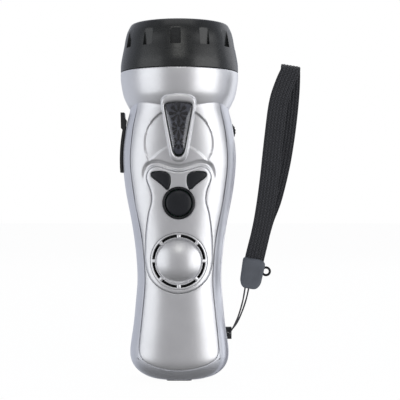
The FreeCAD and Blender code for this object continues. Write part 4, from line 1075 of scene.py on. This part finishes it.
def make_floor():
    """A pale floor that the camera sees as near white; it casts no mirror image or shadow."""
    mesh = bpy.data.meshes.new("floor")
    reach = 4.0
    mesh.from_pydata([(-reach, -reach, 0), (reach, -reach, 0), (reach, reach, 0), (-reach, reach, 0)], [],
                     [(0, 1, 2, 3)])
    floor = bpy.data.objects.new("floor", mesh)
    bpy.context.scene.collection.objects.link(floor)
    s = Shader("floor_paper")
    grain = s.noise(40, 2)
    colour = s.blend(s.span(grain, 0.3, 0.7, 0, 1), (0.90, 0.90, 0.905), (0.93, 0.93, 0.93))
    matt = s.add("ShaderNodeBsdfDiffuse")
    s.link(colour, matt.inputs["Color"])
    glow = s.add("ShaderNodeEmission")
    glow.inputs["Strength"].default_value = 1.03
    pale = s.add("ShaderNodeMixShader")
    pale.inputs[0].default_value = 0.93
    s.link(matt.outputs[0], pale.inputs[1])
    s.link(glow.outputs[0], pale.inputs[2])
    s.finish(pale)
    mesh.materials.append(s.material)
    floor.visible_glossy = False
    floor.visible_shadow = False


def area_light(name, azimuth, elevation, distance, size, strength, colour=(1, 1, 1)):
    """A soft box that faces the radio: azimuth 0 is at the camera's side, 90 on +X."""
    lamp = bpy.data.lights.new(name, "AREA")
    lamp.shape = "RECTANGLE"
    lamp.size, lamp.size_y = size
    lamp.energy = strength * math.pi * size[0] * size[1]
    lamp.color = colour
    obj = bpy.data.objects.new(name, lamp)
    a, e = math.radians(azimuth), math.radians(elevation)
    at = Vector((math.sin(a) * math.cos(e), -math.cos(a) * math.cos(e), math.sin(e))) * distance
    aim = Vector((0, 0, 0.09))
    obj.location = aim + at
    obj.rotation_euler = (-at).to_track_quat("-Z", "Y").to_euler()
    obj.visible_camera = False
    bpy.context.scene.collection.objects.link(obj)
    return obj


def make_world():
    """White to the camera; to the paint, dim at the sides and brighter behind, like a lit sweep."""
    world = bpy.data.worlds.new("studio")
    world.use_nodes = True
    tree = world.node_tree
    tree.nodes.clear()
    add = tree.nodes.new
    where = add("ShaderNodeTexCoord")
    parts = add("ShaderNodeSeparateXYZ")
    tree.links.new(where.outputs["Generated"], parts.inputs[0])
    ramp = add("ShaderNodeValToRGB")
    ramp.color_ramp.interpolation = "B_SPLINE"
    span = add("ShaderNodeMapRange")
    span.inputs["From Min"].default_value = -1
    span.inputs["From Max"].default_value = 1
    tree.links.new(parts.outputs[1], span.inputs["Value"])
    tree.links.new(span.outputs[0], ramp.inputs[0])
    stops = ((0.0, (0.26, 0.255, 0.265)), (0.25, (0.27, 0.27, 0.28)), (0.50, (0.26, 0.265, 0.29)),
             (0.66, (0.46, 0.48, 0.54)), (1.0, (0.54, 0.56, 0.62)))
    elements = ramp.color_ramp.elements
    while len(elements) < len(stops):
        elements.new(0.5)
    for element, (position, colour) in zip(elements, stops):
        element.position = position
        element.color = colour + (1,)
    lower = add("ShaderNodeMapRange")
    lower.interpolation_type = "SMOOTHSTEP"
    for name, bound in zip(RANGE_SOCKETS, (-0.85, -0.35, 0.02, 1.0)):
        lower.inputs[name].default_value = bound
    tree.links.new(parts.outputs[2], lower.inputs["Value"])
    around = add("ShaderNodeBackground")
    tree.links.new(ramp.outputs[0], around.inputs[0])
    tree.links.new(lower.outputs[0], around.inputs[1])
    white = add("ShaderNodeBackground")
    white.inputs[0].default_value = (1, 1, 1, 1)
    white.inputs[1].default_value = 1.0
    path = add("ShaderNodeLightPath")
    mix = add("ShaderNodeMixShader")
    tree.links.new(path.outputs["Is Camera Ray"], mix.inputs[0])
    tree.links.new(around.outputs[0], mix.inputs[1])
    tree.links.new(white.outputs[0], mix.inputs[2])
    out = add("ShaderNodeOutputWorld")
    tree.links.new(mix.outputs[0], out.inputs[0])
    bpy.context.scene.world = world


def make_studio():
    make_world()
    make_floor()
    area_light("soft_left", -58, 3, 1.1, (1.0, 1.12), 0.82, (0.96, 0.98, 1.0))
    area_light("soft_right", 56, 3, 1.1, (1.05, 1.12), 1.30)
    area_light("front_top", 0, 34, 1.0, (0.34, 0.26), 1.5, (1.0, 1.0, 0.95))
    area_light("soft_top", 0, 80, 1.1, (0.9, 0.7), 0.7)
    area_light("rim_right", 128, 8, 1.1, (0.8, 1.2), 0.5)
    area_light("soft_back", 180, 35, 1.2, (0.9, 0.6), 0.6)
    camera = bpy.data.cameras.new("camera")
    camera.sensor_width = 36
    camera.lens = 98.2
    camera.clip_start = 0.01
    obj = bpy.data.objects.new("camera", camera)
    obj.location = (0.0113, -0.600, 0.0979)
    obj.rotation_euler = (math.radians(90), 0, 0)
    bpy.context.scene.collection.objects.link(obj)
    bpy.context.scene.camera = obj
    bpy.context.scene.view_settings.view_transform = "Standard"


def main():
    finish = make_materials()
    dress_nodes(finish)
    make_casing(finish)
    make_speaker(finish)
    make_signal_lamp(finish)
    make_head(finish)
    make_buttons(finish)
    make_strap(finish)
    make_clasp(finish)
    make_cord(finish)
    make_studio()


main()
